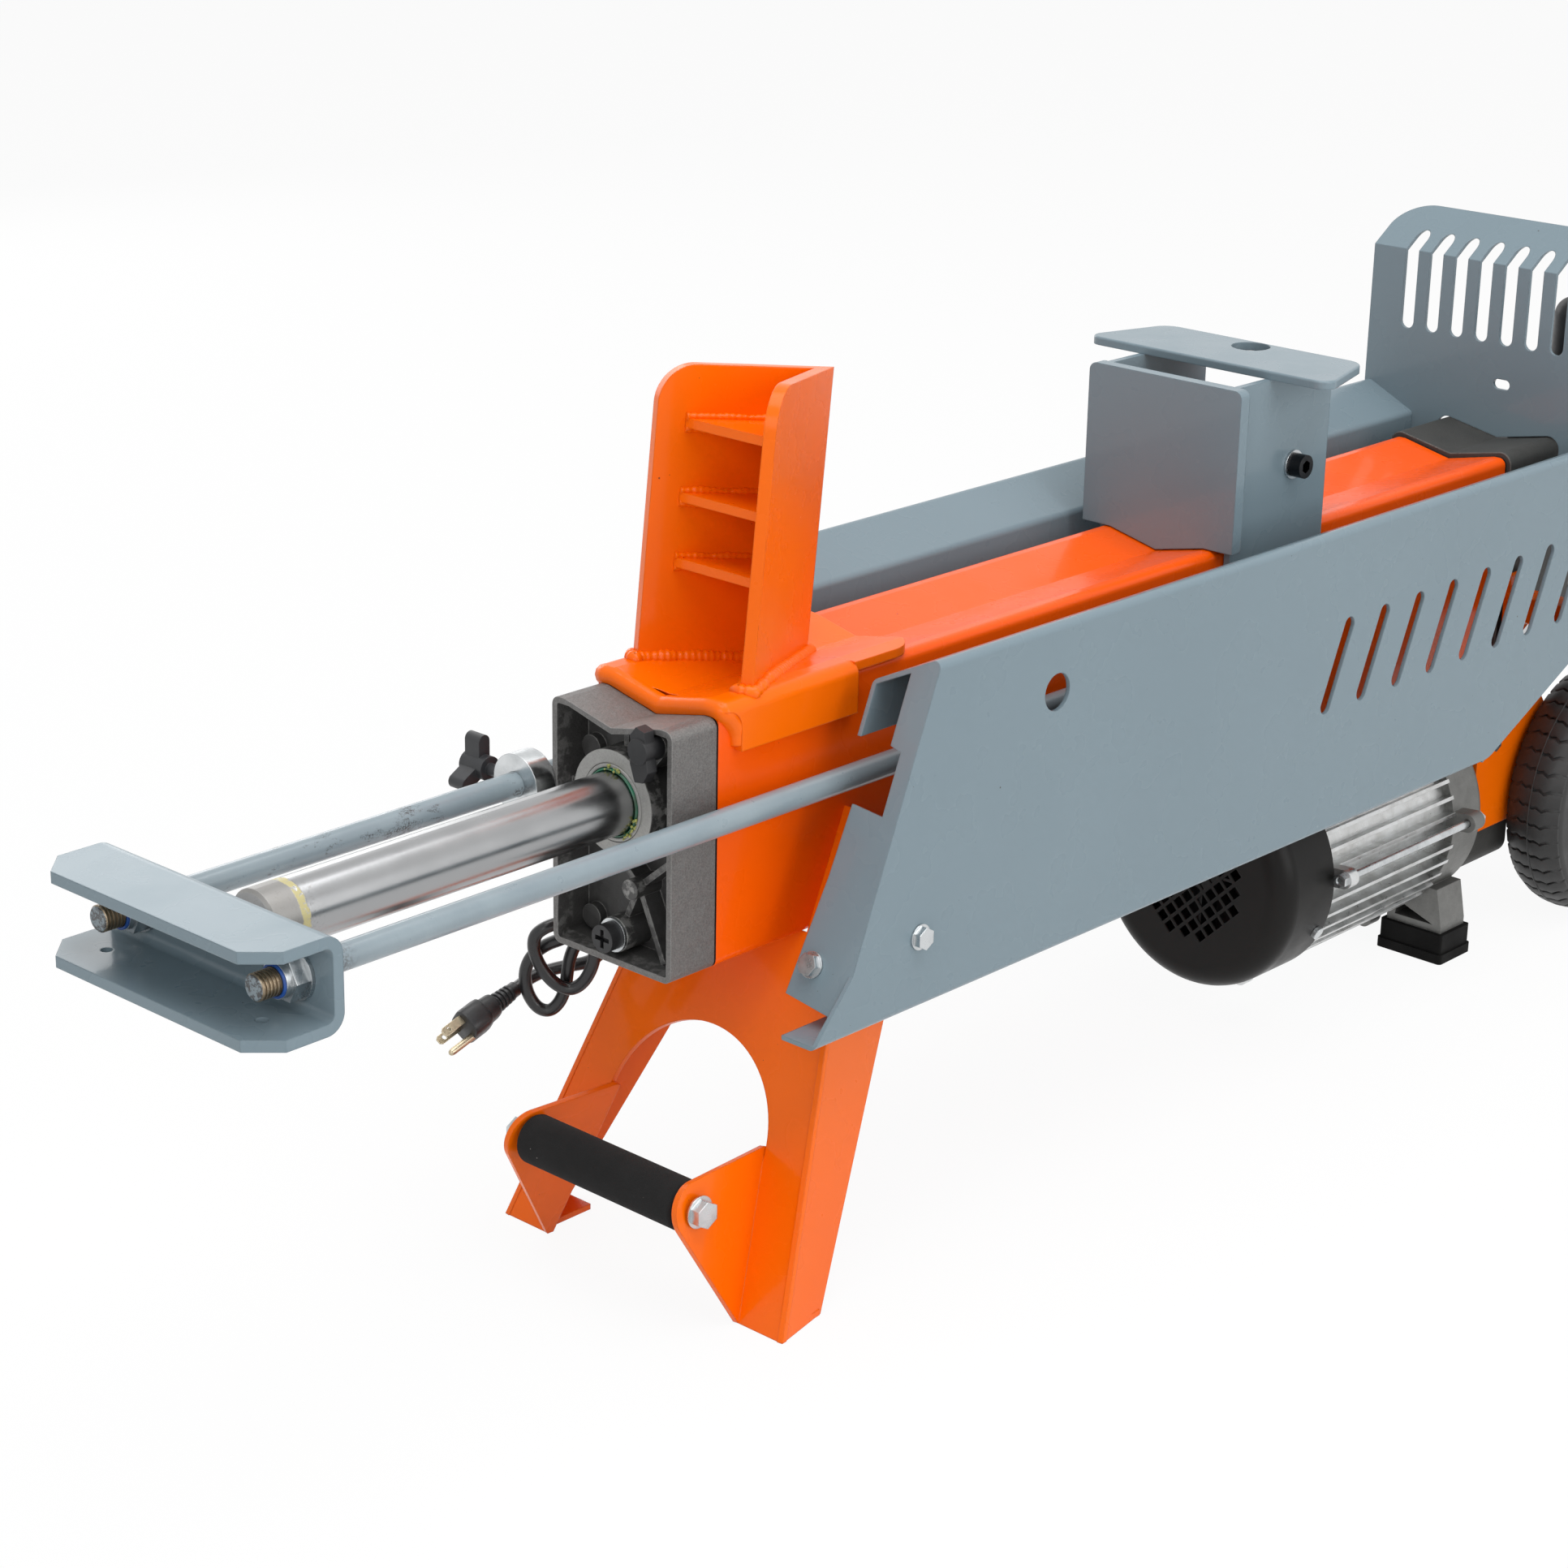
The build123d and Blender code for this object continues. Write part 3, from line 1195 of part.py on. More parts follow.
core_front, core_rear = 645.0, 750.0
rotor_r = 50.0
bell_wall = 8.0
foot_front, foot_rear, foot_in, foot_out, foot_low = 787.0, 821.0, 28.0, 78.0, 8.0
foot_web = 40.0
with BuildPart() as end_bell:
    with BuildSketch(Plane.YZ.offset(stator_rear)):
        with Locations((0, motor_z)):
            Circle(motor_r)
            Circle(core_r, mode=Mode.SUBTRACT)
    extrude(amount=bell_rear - bell_wall - stator_rear)
    with BuildSketch(Plane.YZ.offset(bell_rear - bell_wall)):
        with Locations((0, motor_z)):
            Circle(motor_r)
            Circle(shaft_r + run_gap, mode=Mode.SUBTRACT)
    extrude(amount=bell_wall)
    fillet(end_bell.edges().filter_by(GeomType.CIRCLE).group_by(SortBy.RADIUS)[-1].group_by(
        Axis.X)[-1], 5)
    for side in (-1, 1):
        with BuildSketch(Plane.YZ.offset(foot_front)):
            with BuildLine():
                Polyline((side * foot_in, foot_low), (side * foot_out, foot_low),
                         (side * foot_out, foot_low + 22), (side * (foot_out - 6), foot_web + 20),
                         (side * foot_in, foot_web + 20), close=True)
            make_face()
        extrude(amount=foot_rear - foot_front)
        with BuildSketch(Plane.YZ.offset(foot_front)):
            with BuildLine():
                Polyline((side * (foot_in + 7), foot_low + 22), (side * (foot_out - 8), foot_low + 22),
                         (side * (foot_in + 9), foot_web + 2), close=True)
            make_face()
        extrude(amount=foot_rear - foot_front - 6, mode=Mode.SUBTRACT)
    with BuildSketch(Plane.YZ.offset(stator_rear)):
        with Locations((0, motor_z)):
            Circle(core_r)
    extrude(amount=bell_rear - bell_wall - stator_rear, mode=Mode.SUBTRACT)
    add(ear_pads(stator_rear, 14))
save(end_bell.part, "motor_end_bell")

boot_high, boot_rim, boot_wall = 24.0, 8.0, 3.5
with BuildPart() as boots:
    for side in (-1, 1):
        middle = ((foot_front + foot_rear) / 2, side * (foot_in + foot_out) / 2)
        long, wide = foot_rear - foot_front, foot_out - foot_in
        with BuildSketch(Plane.XY):
            with Locations(middle):
                RectangleRounded(long + 2 * boot_wall + 3, wide + 2 * boot_wall + 3, 3)
        extrude(amount=boot_rim)
        with BuildSketch(Plane.XY):
            with Locations(middle):
                RectangleRounded(long + 2 * boot_wall, wide + 2 * boot_wall, 2)
        extrude(amount=boot_high)
        with BuildSketch(Plane.XY.offset(foot_low)):
            with Locations(middle):
                Rectangle(long + 2 * run_gap, wide + 2 * run_gap)
        extrude(amount=boot_high, mode=Mode.SUBTRACT)
save(boots.part, "motor_boots")

grille_r, grille_pitch, grille_hole = 48.0, 10.0, 7.4
with BuildPart() as fan_cover:
    with BuildSketch(Plane.YZ.offset(fan_cover_front)):
        with Locations((0, motor_z)):
            Circle(fan_cover_r)
    extrude(amount=fan_cover_rear - fan_cover_front)
    fillet(fan_cover.edges().filter_by(GeomType.CIRCLE).group_by(Axis.X)[0], cover_round)
    offset(amount=-cover_wall, openings=fan_cover.faces().sort_by(Axis.X)[-1])
    with BuildSketch(Plane.YZ.offset(fan_cover_front - 1)):
        steps = int(grille_r / grille_pitch) + 1
        for row in range(-steps, steps + 1):
            for column in range(-steps, steps + 1):
                y = (row - column) * grille_pitch / math.sqrt(2)
                z = (row + column) * grille_pitch / math.sqrt(2)
                if math.hypot(y, z) < grille_r:
                    with Locations(Location((y, motor_z + z, 0), 45)):
                        Rectangle(grille_hole, grille_hole)
    extrude(amount=cover_wall + 2, mode=Mode.SUBTRACT)
    for turn in screw_turns:
        with BuildSketch(spoke_plane(turn)):
            Circle(2.8)
        extrude(amount=fan_cover_r + 5, mode=Mode.SUBTRACT)
save(fan_cover.part, "fan_cover")

with BuildPart() as cover_screws:
    for turn in screw_turns:
        with BuildSketch(spoke_plane(turn).offset(fan_cover_r + 0.1)):
            Circle(5)
        extrude(amount=3.5)
        with BuildSketch(spoke_plane(turn).offset(fan_cover_r - 12)):
            Circle(2.5)
        extrude(amount=12.5)
save(cover_screws.part, "fan_cover_screws")

through_bolt = hex_bolt(m6, 10.0, 4.5, stator_rear + 14 - stator_front + 4)
with BuildPart() as through_bolts:
    with Locations(*[facing(stator_rear + 14, y, z, rear) for y, z in ear_spots]):
        add(through_bolt)
    with Locations(*[facing(stator_front, y, z, front) for y, z in ear_spots]):
        add(hex_nut(m6, 10.0, 5))
save(through_bolts.part, "motor_through_bolts")

fan_front, fan_rear, fan_hub, fan_r, blades_count = 568.0, 588.0, 14.0, 66.0, 8
with BuildPart() as rotor:
    with BuildSketch(Plane.YZ.offset(fan_front - 3)):
        with Locations((0, motor_z)):
            Circle(shaft_r)
    extrude(amount=bell_rear + bearing_long - 5 - fan_front + 3)
    with BuildSketch(Plane.YZ.offset(core_front)):
        with Locations((0, motor_z)):
            Circle(rotor_r)
    extrude(amount=core_rear - core_front)
save(rotor.part, "rotor_shaft")

with BuildPart() as fan:
    with BuildSketch(Plane.YZ.offset(fan_front)):
        with Locations((0, motor_z)):
            Circle(fan_hub)
            with PolarLocations(0, blades_count):
                with Locations((fan_r / 2, 0)):
                    Rectangle(fan_r, 2.5)
            Circle(shaft_r + run_gap, mode=Mode.SUBTRACT)
    extrude(amount=fan_rear - fan_front)
    with BuildSketch(Plane.YZ.offset(fan_rear)):
        with Locations((0, motor_z)):
            Circle(fan_r)
            Circle(shaft_r + run_gap, mode=Mode.SUBTRACT)
    extrude(amount=2)
save(fan.part, "cooling_fan")

# ---------------------------------------------------------------- gear pump
teeth = 12
tooth_root = gear_r - 4.2
tooth_profile = ((tooth_root, 2.0), (gear_r - 2, 1.35), (gear_r, 0.7))


def pump_gear(z, turn):
    """Spur gear of the oil pump about the shaft height z, its first tooth at the angle turn."""
    points = []
    for tooth in range(teeth):
        middle = math.radians(turn + tooth * 360 / teeth)
        flank = [(r, -half / r) for r, half in tooth_profile]
        flank += [(r, half / r) for r, half in reversed(tooth_profile)]
        points += [(r * math.cos(middle + a), z + r * math.sin(middle + a)) for r, a in flank]
    with BuildPart() as gear:
        with BuildSketch(Plane.YZ.offset(bell_rear + run_gap)):
            with BuildLine():
                Polyline(*points, close=True)
            make_face()
        extrude(amount=gear_wide)
    return gear.part


with BuildPart() as drive_gear:
    add(pump_gear(motor_z, 90))
    with BuildSketch(Plane.YZ.offset(bell_rear)):
        with Locations((0, motor_z)):
            Circle(shaft_r + run_gap)
    extrude(amount=gear_wide + 1, mode=Mode.SUBTRACT)
save(drive_gear.part, "pump_drive_gear")

with BuildPart() as driven_gear:
    add(pump_gear(driven_z, 90 + 180 / teeth))
    with BuildSketch(Plane.YZ.offset(bell_rear + run_gap)):
        with Locations((0, driven_z)):
            Circle(shaft_r)
    extrude(amount=bearing_long - 1)
save(driven_gear.part, "pump_driven_gear")

# ---------------------------------------------------------------- wheels and their bracket
bracket_in = block_y
bracket_wall = 5.0
bracket_outer = bracket_in + bracket_wall
boss_out = wheel_y - tyre_wide / 2 - 0.3
boss_r = 15.0
brace_low, brace_top = 266.0, 286.0
brace_front, brace_rear, brace_wall = 866.0, 890.0, 3.0
plate_front, plate_low, plate_rear = 842.0, 90.0, 930.0
plate_shoulder, plate_neck = 190.0, 208.0
strip_front, strip_rear, strip_top = 868.0, 906.0, 300.0
cross_x, cross_z, cross_high = 932.0, 140.0, 60.0
with BuildPart() as axle_bracket:
    for side in (-1, 1):
        with BuildSketch(Plane.XZ.offset(-side * bracket_in)):
            with BuildLine():
                Polyline((plate_front, plate_low), (plate_rear, plate_low),
                         (wheel_x, wheel_r - boss_r), (wheel_x, wheel_r + boss_r),
                         (plate_rear, plate_shoulder), (strip_rear, plate_neck),
                         (strip_rear, strip_top), (strip_front, strip_top),
                         (strip_front, plate_neck), (plate_front, plate_shoulder), close=True)
            make_face()
            with Locations((wheel_x, wheel_r)):
                Circle(boss_r)
                Circle(axle_d / 2 + run_gap, mode=Mode.SUBTRACT)
            with Locations(*pad_bolts):
                Circle(m8 / 2 + bolt_gap, mode=Mode.SUBTRACT)
        extrude(amount=-side * bracket_wall)
        with BuildSketch(Plane.XZ.offset(-side * bracket_outer)):
            with Locations((wheel_x, wheel_r)):
                Circle(boss_r)
                Circle(axle_d / 2 + run_gap, mode=Mode.SUBTRACT)
        extrude(amount=-side * (boss_out - bracket_outer))
        # outrigger that carries the side panel's rear end
        with BuildSketch(Plane.XZ.offset(-side * (bracket_outer - 1))):
            with Locations(((brace_front + brace_rear) / 2, (brace_low + brace_top) / 2)):
                Rectangle(brace_rear - brace_front, brace_top - brace_low)
                Rectangle(brace_rear - brace_front - 2 * brace_wall,
                          brace_top - brace_low - 2 * brace_wall, mode=Mode.SUBTRACT)
        extrude(amount=-side * (panel_outer - panel_sheet - bracket_outer + 1))
        with BuildSketch(Plane.XZ.offset(-side * (panel_outer - panel_sheet - 4))):
            with Locations(((brace_front + brace_rear) / 2, (brace_low + brace_top) / 2)):
                Rectangle(brace_rear - brace_front, brace_top - brace_low)
            with Locations((brace_x, brace_z)):
                Circle(m8 / 2 + bolt_gap, mode=Mode.SUBTRACT)
        extrude(amount=-side * 4)
    with BuildSketch(Plane.YZ.offset(cross_x)):
        with Locations((0, cross_z)):
            Rectangle(2 * bracket_in + 1, cross_high)
    extrude(amount=bracket_wall)
save(axle_bracket.part, "axle_bracket")

# flange bolts: M10 in the handle, M8 in the panels, the guard and the wheel bracket
m10_across, m10_hex, m10_flange = 16.0, 8.0, 21.5
handle_bolt, sheet_bolt, bracket_bolt = 34.0, 14.0, 19.0
bolt_places = {handle_bolt: [], sheet_bolt: [], bracket_bolt: []}
for side in (-1, 1):
    start = panel_shift if side > 0 else 0.0
    out = (0, side, 0)
    bolt_places[handle_bolt].append(facing(handle_x, side * head_seat, handle_z, out, up))
    bolt_places[sheet_bolt].append(facing(slant_x(flange_bolt_z, start), side * flange_bolt_y,
                                          flange_bolt_z, (-math.cos(slant), 0, math.sin(slant)), right))
    for x, z in ((side_bolt_x, side_bolt_z), (brace_x, brace_z)):
        bolt_places[sheet_bolt].append(facing(x, side * panel_outer, z, out, up))
    for z in guard_bolts_z:
        bolt_places[sheet_bolt].append(facing(panel_rear + guard_sheet, side * guard_bolt_y, z, rear))
    for x, z in pad_bolts:
        bolt_places[bracket_bolt].append(facing(x, side * bracket_outer, z, out, up))
with BuildPart() as flange_bolts:
    for long, places in bolt_places.items():
        with Locations(*places):
            if long == handle_bolt:
                add(hex_bolt(m10, m10_across, m10_hex, long, m10_flange))
            else:
                add(hex_bolt(m8, m8_across, m8_head, long, m8_flange))
save(flange_bolts.part, "flange_bolts")

nut_start = wheel_y + tyre_wide / 2 + 0.3
axle_half = nut_start + 15.0
with BuildPart() as axle:
    with BuildSketch(Plane.XZ.offset(-axle_half)):
        with Locations((wheel_x, wheel_r)):
            Circle(axle_d / 2)
    extrude(amount=2 * axle_half)
    chamfer(axle.edges().filter_by(GeomType.CIRCLE), 1)
save(axle.part, "axle")

with BuildPart() as axle_nuts:
    with Locations(*[facing(wheel_x, side * nut_start, wheel_r, (0, side, 0), up)
                     for side in (-1, 1)]):
        add(hex_nut(axle_d + 2 * run_gap, m16_across, 9, m16_collar))
save(axle_nuts.part, "axle_nuts")

hub_r, hub_rim, hub_rim_wide, hub_boss_r, hub_disc = 62.0, 5.0, 38.0, 19.0, 6.0
hub_ribs = 6
tyre_round = 13.0
for side, name in ((-1, "left"), (1, "right")):
    with BuildPart() as hub:
        for outer, inner, wide in ((hub_r, hub_r - hub_rim, hub_rim_wide),
                                   (hub_r - 1, hub_boss_r - 1, hub_disc),
                                   (hub_boss_r, axle_d / 2 + run_gap, tyre_wide)):
            with BuildSketch(Plane.XZ.offset(-side * wheel_y - wide / 2)):
                with Locations((wheel_x, wheel_r)):
                    Circle(outer)
                    Circle(inner, mode=Mode.SUBTRACT)
            extrude(amount=wide)
        with BuildSketch(Plane.XZ.offset(-side * wheel_y - 14)):
            with Locations((wheel_x, wheel_r)):
                with PolarLocations(0, hub_ribs):
                    with Locations(((hub_r + hub_boss_r) / 2 - 2, 0)):
                        Rectangle(hub_r - hub_boss_r, 5)
        extrude(amount=28)
    save(hub.part, f"wheel_hub_{name}")
    with BuildPart() as tyre:
        with BuildSketch(Plane.XZ.offset(-side * wheel_y - tyre_wide / 2)):
            with Locations((wheel_x, wheel_r)):
                Circle(wheel_r)
                Circle(hub_r, mode=Mode.SUBTRACT)
        extrude(amount=tyre_wide)
        rounded = tyre.edges().filter_by(GeomType.CIRCLE).group_by(SortBy.RADIUS)[-1]
        fillet(rounded, tyre_round)
    save(tyre.part, f"tyre_{name}")

# ---------------------------------------------------------------- cord and plug
def arc_radii(points):
    """Radius at each inner point of a route: 0.45 of the shorter run over tan(half the turn)."""
    radii = []
    for before, here, after in zip(points, points[1:], points[2:]):
        first, second = Vector(*here) - Vector(*before), Vector(*after) - Vector(*here)
        half = math.radians(first.get_angle(second)) / 2
        radii.append(0.45 * min(first.length, second.length) / math.tan(half))
    return radii


def cord_run(points):
    """Round tube along straight runs joined by tangent arcs."""
    radii = arc_radii(points)
    with BuildPart() as tube:
        with BuildLine() as path:
            FilletPolyline(*points, radius=radii)
        with BuildSketch(Plane(origin=points[0], z_dir=Vector(*points[1]) - Vector(*points[0]))):
            Circle(cord_d / 2)
        sweep()
    length = path.wires()[0].length
    ratio = tube.part.volume / (length * math.pi * cord_d ** 2 / 4)
    print("cord radii", [round(r) for r in radii])
    print("cord length", round(length), "volume ratio", round(ratio, 4))
    return tube.part


cord_start = (box_front - relief_long, gland_y, gland_z)
cord_points = [cord_start, (880, gland_y, gland_z), (832, 95, 280), (790, 99, 252), (742, 103, 222),
               (682, 108, 203), (598, 112, 199), (498, 108, 198.6), (392, 113, 198.8),
               (290, 108, 198.6), (192, 113, 199), (122, 110, 198.6), (78, 107.5, 198.8),
               (44, 107.5, 200.5), (18, 104, 203.5), (-2, 97, 203)]

coil_centre = (-5.5, 95.6, 177.8)
coil_face = (-0.737, -0.676, 0)
coil_wide, coil_high, coil_thick, coil_round = 25.0, 31.0, 40.0, 10.0
with BuildPart() as loops:
    with BuildSketch(Plane(origin=coil_centre, x_dir=(0.676, -0.737, 0), z_dir=coil_face)):
        Ellipse(coil_wide, coil_high)
    extrude(amount=coil_thick / 2, both=True)
    fillet(loops.edges(), coil_round)
save(loops.part, "cord_loops")

plug_rear = Vector(-41.7, 121.8, 156.2)
plug_way = Vector(-0.955, 0, -0.29).normalized()
blade_way = Vector(0.126, 0.647, -0.752)
plug_long, plug_wide, plug_high, plug_relief = 28.0, 25.0, 21.0, 20.0
tail_end = plug_rear - plug_way * plug_relief
tail_points = [(5.1, 110.8, 172.5), (-2.4, 118, 168.9), tuple(tail_end - plug_way * 11), tuple(tail_end)]
with BuildPart() as cord:
    add(cord_run(cord_points))
    add(cord_run(tail_points))
save(cord.part, "cord_tube")

plug_plane = Plane(origin=plug_rear, x_dir=blade_way - plug_way * blade_way.dot(plug_way), z_dir=plug_way)
with BuildPart() as plug:
    with BuildSketch(plug_plane):
        RectangleRounded(plug_wide - 6, plug_high - 4, 5)
    with BuildSketch(plug_plane.offset(8)):
        RectangleRounded(plug_wide, plug_high, 6)
    loft()
    with BuildSketch(plug_plane.offset(8)):
        RectangleRounded(plug_wide, plug_high, 6)
    extrude(amount=plug_long - 8)
    with BuildSketch(plug_plane):
        Circle(7)
    with BuildSketch(plug_plane.offset(-plug_relief)):
        Circle(cord_d / 2 + 1)
    loft()
save(plug.part, "plug_body")

blade_step, blade_shift, blade_out, blade_tall, blade_thin = 12.7, -4.0, 17.0, 6.3, 1.5
earth_r, earth_drop, earth_out = 2.4, 11.9, 20.0
with BuildPart() as plug_blades:
    with BuildSketch(plug_plane.offset(plug_long)):
        with Locations((-blade_step / 2, blade_shift), (blade_step / 2, blade_shift)):
            Rectangle(blade_thin, blade_tall)
    extrude(amount=blade_out)
    with BuildSketch(plug_plane.offset(plug_long)):
        with Locations((0, blade_shift + earth_drop)):
            Circle(earth_r)
    extrude(amount=earth_out)
save(plug_blades.part, "plug_blades")
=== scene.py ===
"""Looks of an electric horizontal log splitter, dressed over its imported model.

Metres, +Z up, +X from the yoke at the front to the wheels at the rear, +Y to the right side.
The file follows the machine as it is put together: cord, beam, cover, ram, pusher, wedge, panels,
leg, rear casting, motor and wheels, and then the floor and the lamps.
"""

import math

import bmesh
import bpy
from mathutils import Matrix, Vector


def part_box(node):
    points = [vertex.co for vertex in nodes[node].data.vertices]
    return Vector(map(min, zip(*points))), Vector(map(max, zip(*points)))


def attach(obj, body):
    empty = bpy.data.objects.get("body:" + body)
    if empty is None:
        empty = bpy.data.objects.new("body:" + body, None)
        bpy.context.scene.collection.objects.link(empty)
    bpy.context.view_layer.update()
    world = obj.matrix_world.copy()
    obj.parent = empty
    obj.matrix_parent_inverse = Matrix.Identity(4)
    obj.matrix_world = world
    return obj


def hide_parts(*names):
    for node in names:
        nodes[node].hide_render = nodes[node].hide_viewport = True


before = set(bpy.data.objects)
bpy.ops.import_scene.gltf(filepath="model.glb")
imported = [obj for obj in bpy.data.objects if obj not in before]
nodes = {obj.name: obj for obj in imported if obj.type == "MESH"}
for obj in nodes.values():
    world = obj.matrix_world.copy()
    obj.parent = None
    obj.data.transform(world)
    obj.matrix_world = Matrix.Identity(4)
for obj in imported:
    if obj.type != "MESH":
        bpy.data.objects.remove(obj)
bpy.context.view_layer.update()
scene = bpy.context.scene

# ---------------------------------------------------------------- camera
# A long lens stands to the front left of the machine, a little above the wedge, and its right edge
# cuts through the wheels.
lens = bpy.data.cameras.new("camera")
lens.sensor_width, lens.lens = 36.0, 78.57
camera = bpy.data.objects.new("camera", lens)
camera.location = (-1.41894, -1.39188, 1.04717)
camera.rotation_euler = [math.radians(angle) for angle in (70.1625, -0.9933, -47.1343)]
scene.collection.objects.link(camera)
scene.camera = camera


# ---------------------------------------------------------------- mains cord
# A round three-core lead of soft black vinyl, 8.5 mm thick. It leaves the switch box through a
# gland, runs along the right side inside the panel, hangs in two loose loops behind the front
# cover, and ends in its moulded plug.
def new_finish(name, colour, rough, metal=0.0, **sockets):
    """Material with one Principled shader; sockets are its other plain values."""
    finish = bpy.data.materials.new(name)
    finish.use_nodes = True
    shader = finish.node_tree.nodes["Principled BSDF"]
    shader.inputs["Base Color"].default_value = (*colour, 1)
    shader.inputs["Roughness"].default_value = rough
    shader.inputs["Metallic"].default_value = metal
    for socket, value in sockets.items():
        shader.inputs[socket.replace("_", " ")].default_value = value
    return finish


def step(tree, kind, **values):
    """Adds a node to a tree; a value is a property, a plain socket value or another node's output."""
    made = tree.nodes.new(kind)
    for name, value in values.items():
        if name in made.bl_rna.properties:
            setattr(made, name, value)
            continue
        socket = made.inputs[int(name[1:])] if name[1:].isdigit() else made.inputs[name.replace("_", " ")]
        if isinstance(value, bpy.types.NodeSocket):
            tree.links.new(value, socket)
        else:
            socket.default_value = value
    return made


def add(finish, kind, **values):
    """Adds a shader node to a material or world; values as in step()."""
    return step(finish.node_tree, "ShaderNode" + kind, **values)


def feed(finish, socket, value):
    """Joins an output to a socket of the material's Principled shader."""
    finish.node_tree.links.new(value, finish.node_tree.nodes["Principled BSDF"].inputs[socket])


def maths(finish, operation, first, second=0.0):
    """That operation on one or two values."""
    return add(finish, "Math", operation=operation, i0=first, i1=second).outputs[0]


def spread(finish, value, low, high, to_low=0.0, to_high=1.0):
    """Maps low..high to to_low..to_high and stops there."""
    return add(finish, "MapRange", Value=value, From_Min=low, From_Max=high, To_Min=to_low,
               To_Max=to_high).outputs[0]


def grain(finish, scale, detail=2.0, rough=0.5, stretch=(1, 1, 1)):
    """Noise on the piece's own coordinates; scale counts its features per metre."""
    spot = add(finish, "TexCoord").outputs["Object"]
    spot = add(finish, "Mapping", Vector=spot, Scale=stretch).outputs[0]
    return add(finish, "TexNoise", Vector=spot, Scale=scale, Detail=detail, Roughness=rough).outputs[0]


def tint(finish, share, first, second):
    """Colour between first and second by share."""
    first, second = [c if isinstance(c, bpy.types.NodeSocket) else (*c, 1) for c in (first, second)]
    return add(finish, "Mix", data_type="RGBA", i0=share, i6=first, i7=second).outputs[2]


def mottle(finish, scale, low, high, detail=3):
    """Lets the roughness drift between low and high."""
    feed(finish, "Roughness", spread(finish, grain(finish, scale, detail), 0.3, 0.7, low, high))


def dent(finish, height, depth, base=None):
    """Bump of that depth in metres, over a normal that is given."""
    made = add(finish, "Bump", Height=height, Distance=depth, Strength=1.0)
    if base is not None:
        finish.node_tree.links.new(base, made.inputs["Normal"])
    return made.outputs[0]


vinyl = new_finish("cord_black", (0.012, 0.012, 0.013), 0.3, Specular_IOR_Level=0.55)
mottle(vinyl, 90, 0.24, 0.38)
feed(vinyl, "Normal", dent(vinyl, grain(vinyl, 320, 2), 0.00006))

cord_thick = 0.0085
cord_run = [
    (0.9150, 0.0920, 0.3000), (0.8800, 0.0920, 0.3000), (0.8320, 0.0950, 0.2800),
    (0.7900, 0.0990, 0.2520), (0.7420, 0.1030, 0.2220), (0.6820, 0.1080, 0.2030),
    (0.5980, 0.1120, 0.1990), (0.4980, 0.1080, 0.1986), (0.3920, 0.1130, 0.1988),
    (0.2900, 0.1080, 0.1986), (0.1920, 0.1130, 0.1990), (0.1220, 0.1100, 0.1986),
    (0.0780, 0.1075, 0.1988), (0.0440, 0.1075, 0.2005), (0.0180, 0.1040, 0.2050),
    (0.0020, 0.0960, 0.2110)]
front_loop = [
    (-0.0084, 0.0880, 0.2142), (-0.0168, 0.0894, 0.2153), (-0.0242, 0.0924, 0.2137),
    (-0.0284, 0.0970, 0.2085), (-0.0292, 0.0978, 0.2000), (-0.0274, 0.0959, 0.1905),
    (-0.0239, 0.0921, 0.1815), (-0.0190, 0.0868, 0.1737), (-0.0130, 0.0802, 0.1705),
    (-0.0077, 0.0744, 0.1752), (-0.0042, 0.0705, 0.1844), (-0.0020, 0.0688, 0.1946),
    (-0.0010, 0.0703, 0.2043), (-0.0018, 0.0755, 0.2092)]
second_loop = [
    (-0.0053, 0.0836, 0.2074), (-0.0099, 0.0916, 0.2019), (-0.0163, 0.1001, 0.1973),
    (-0.0224, 0.1067, 0.1897), (-0.0253, 0.1098, 0.1800), (-0.0253, 0.1099, 0.1691),
    (-0.0232, 0.1076, 0.1595), (-0.0194, 0.1034, 0.1521), (-0.0144, 0.0979, 0.1506),
    (-0.0101, 0.0933, 0.1570), (-0.0075, 0.0905, 0.1674), (-0.0061, 0.0904, 0.1778),
    (-0.0036, 0.0907, 0.1873), (0.0003, 0.0894, 0.1962)]
cord_tail = [
    (0.0070, 0.0865, 0.2024), (0.0155, 0.0840, 0.2010), (0.0215, 0.0846, 0.1920),
    (0.0222, 0.0894, 0.1817), (0.0178, 0.0980, 0.1749), (0.0096, 0.1070, 0.1728),
    (-0.0024, 0.1180, 0.1689), (-0.0120, 0.1218, 0.1652), (-0.0225, 0.1218, 0.1620)]
cord_points = cord_run + front_loop + second_loop + cord_tail

lead = bpy.data.curves.new("mains_cord", "CURVE")
lead.dimensions = "3D"
run = lead.splines.new("NURBS")
run.points.add(len(cord_points) - 1)
for point, place in zip(run.points, cord_points):
    point.co = (*place, 1)
run.order_u = 3
run.use_endpoint_u = True
run.resolution_u = lead.resolution_u = 10
lead.bevel_depth = cord_thick / 2
lead.bevel_resolution = 5
lead.use_fill_caps = True
lead.materials.append(vinyl)
mains_cord = bpy.data.objects.new("mains_cord", lead)
scene.collection.objects.link(mains_cord)


# ---------------------------------------------------------------- plug
# Moulded in one with the cord: a two-step grip body, a ribbed sleeve behind it, two folded brass
# blades with their holes and a round earth pin.
def new_piece(name, mesh, finish):
    """Object for a finished mesh, at the origin."""
    mesh.materials.clear()
    mesh.materials.append(finish)
    piece = bpy.data.objects.new(name, mesh)
    scene.collection.objects.link(piece)
    return piece


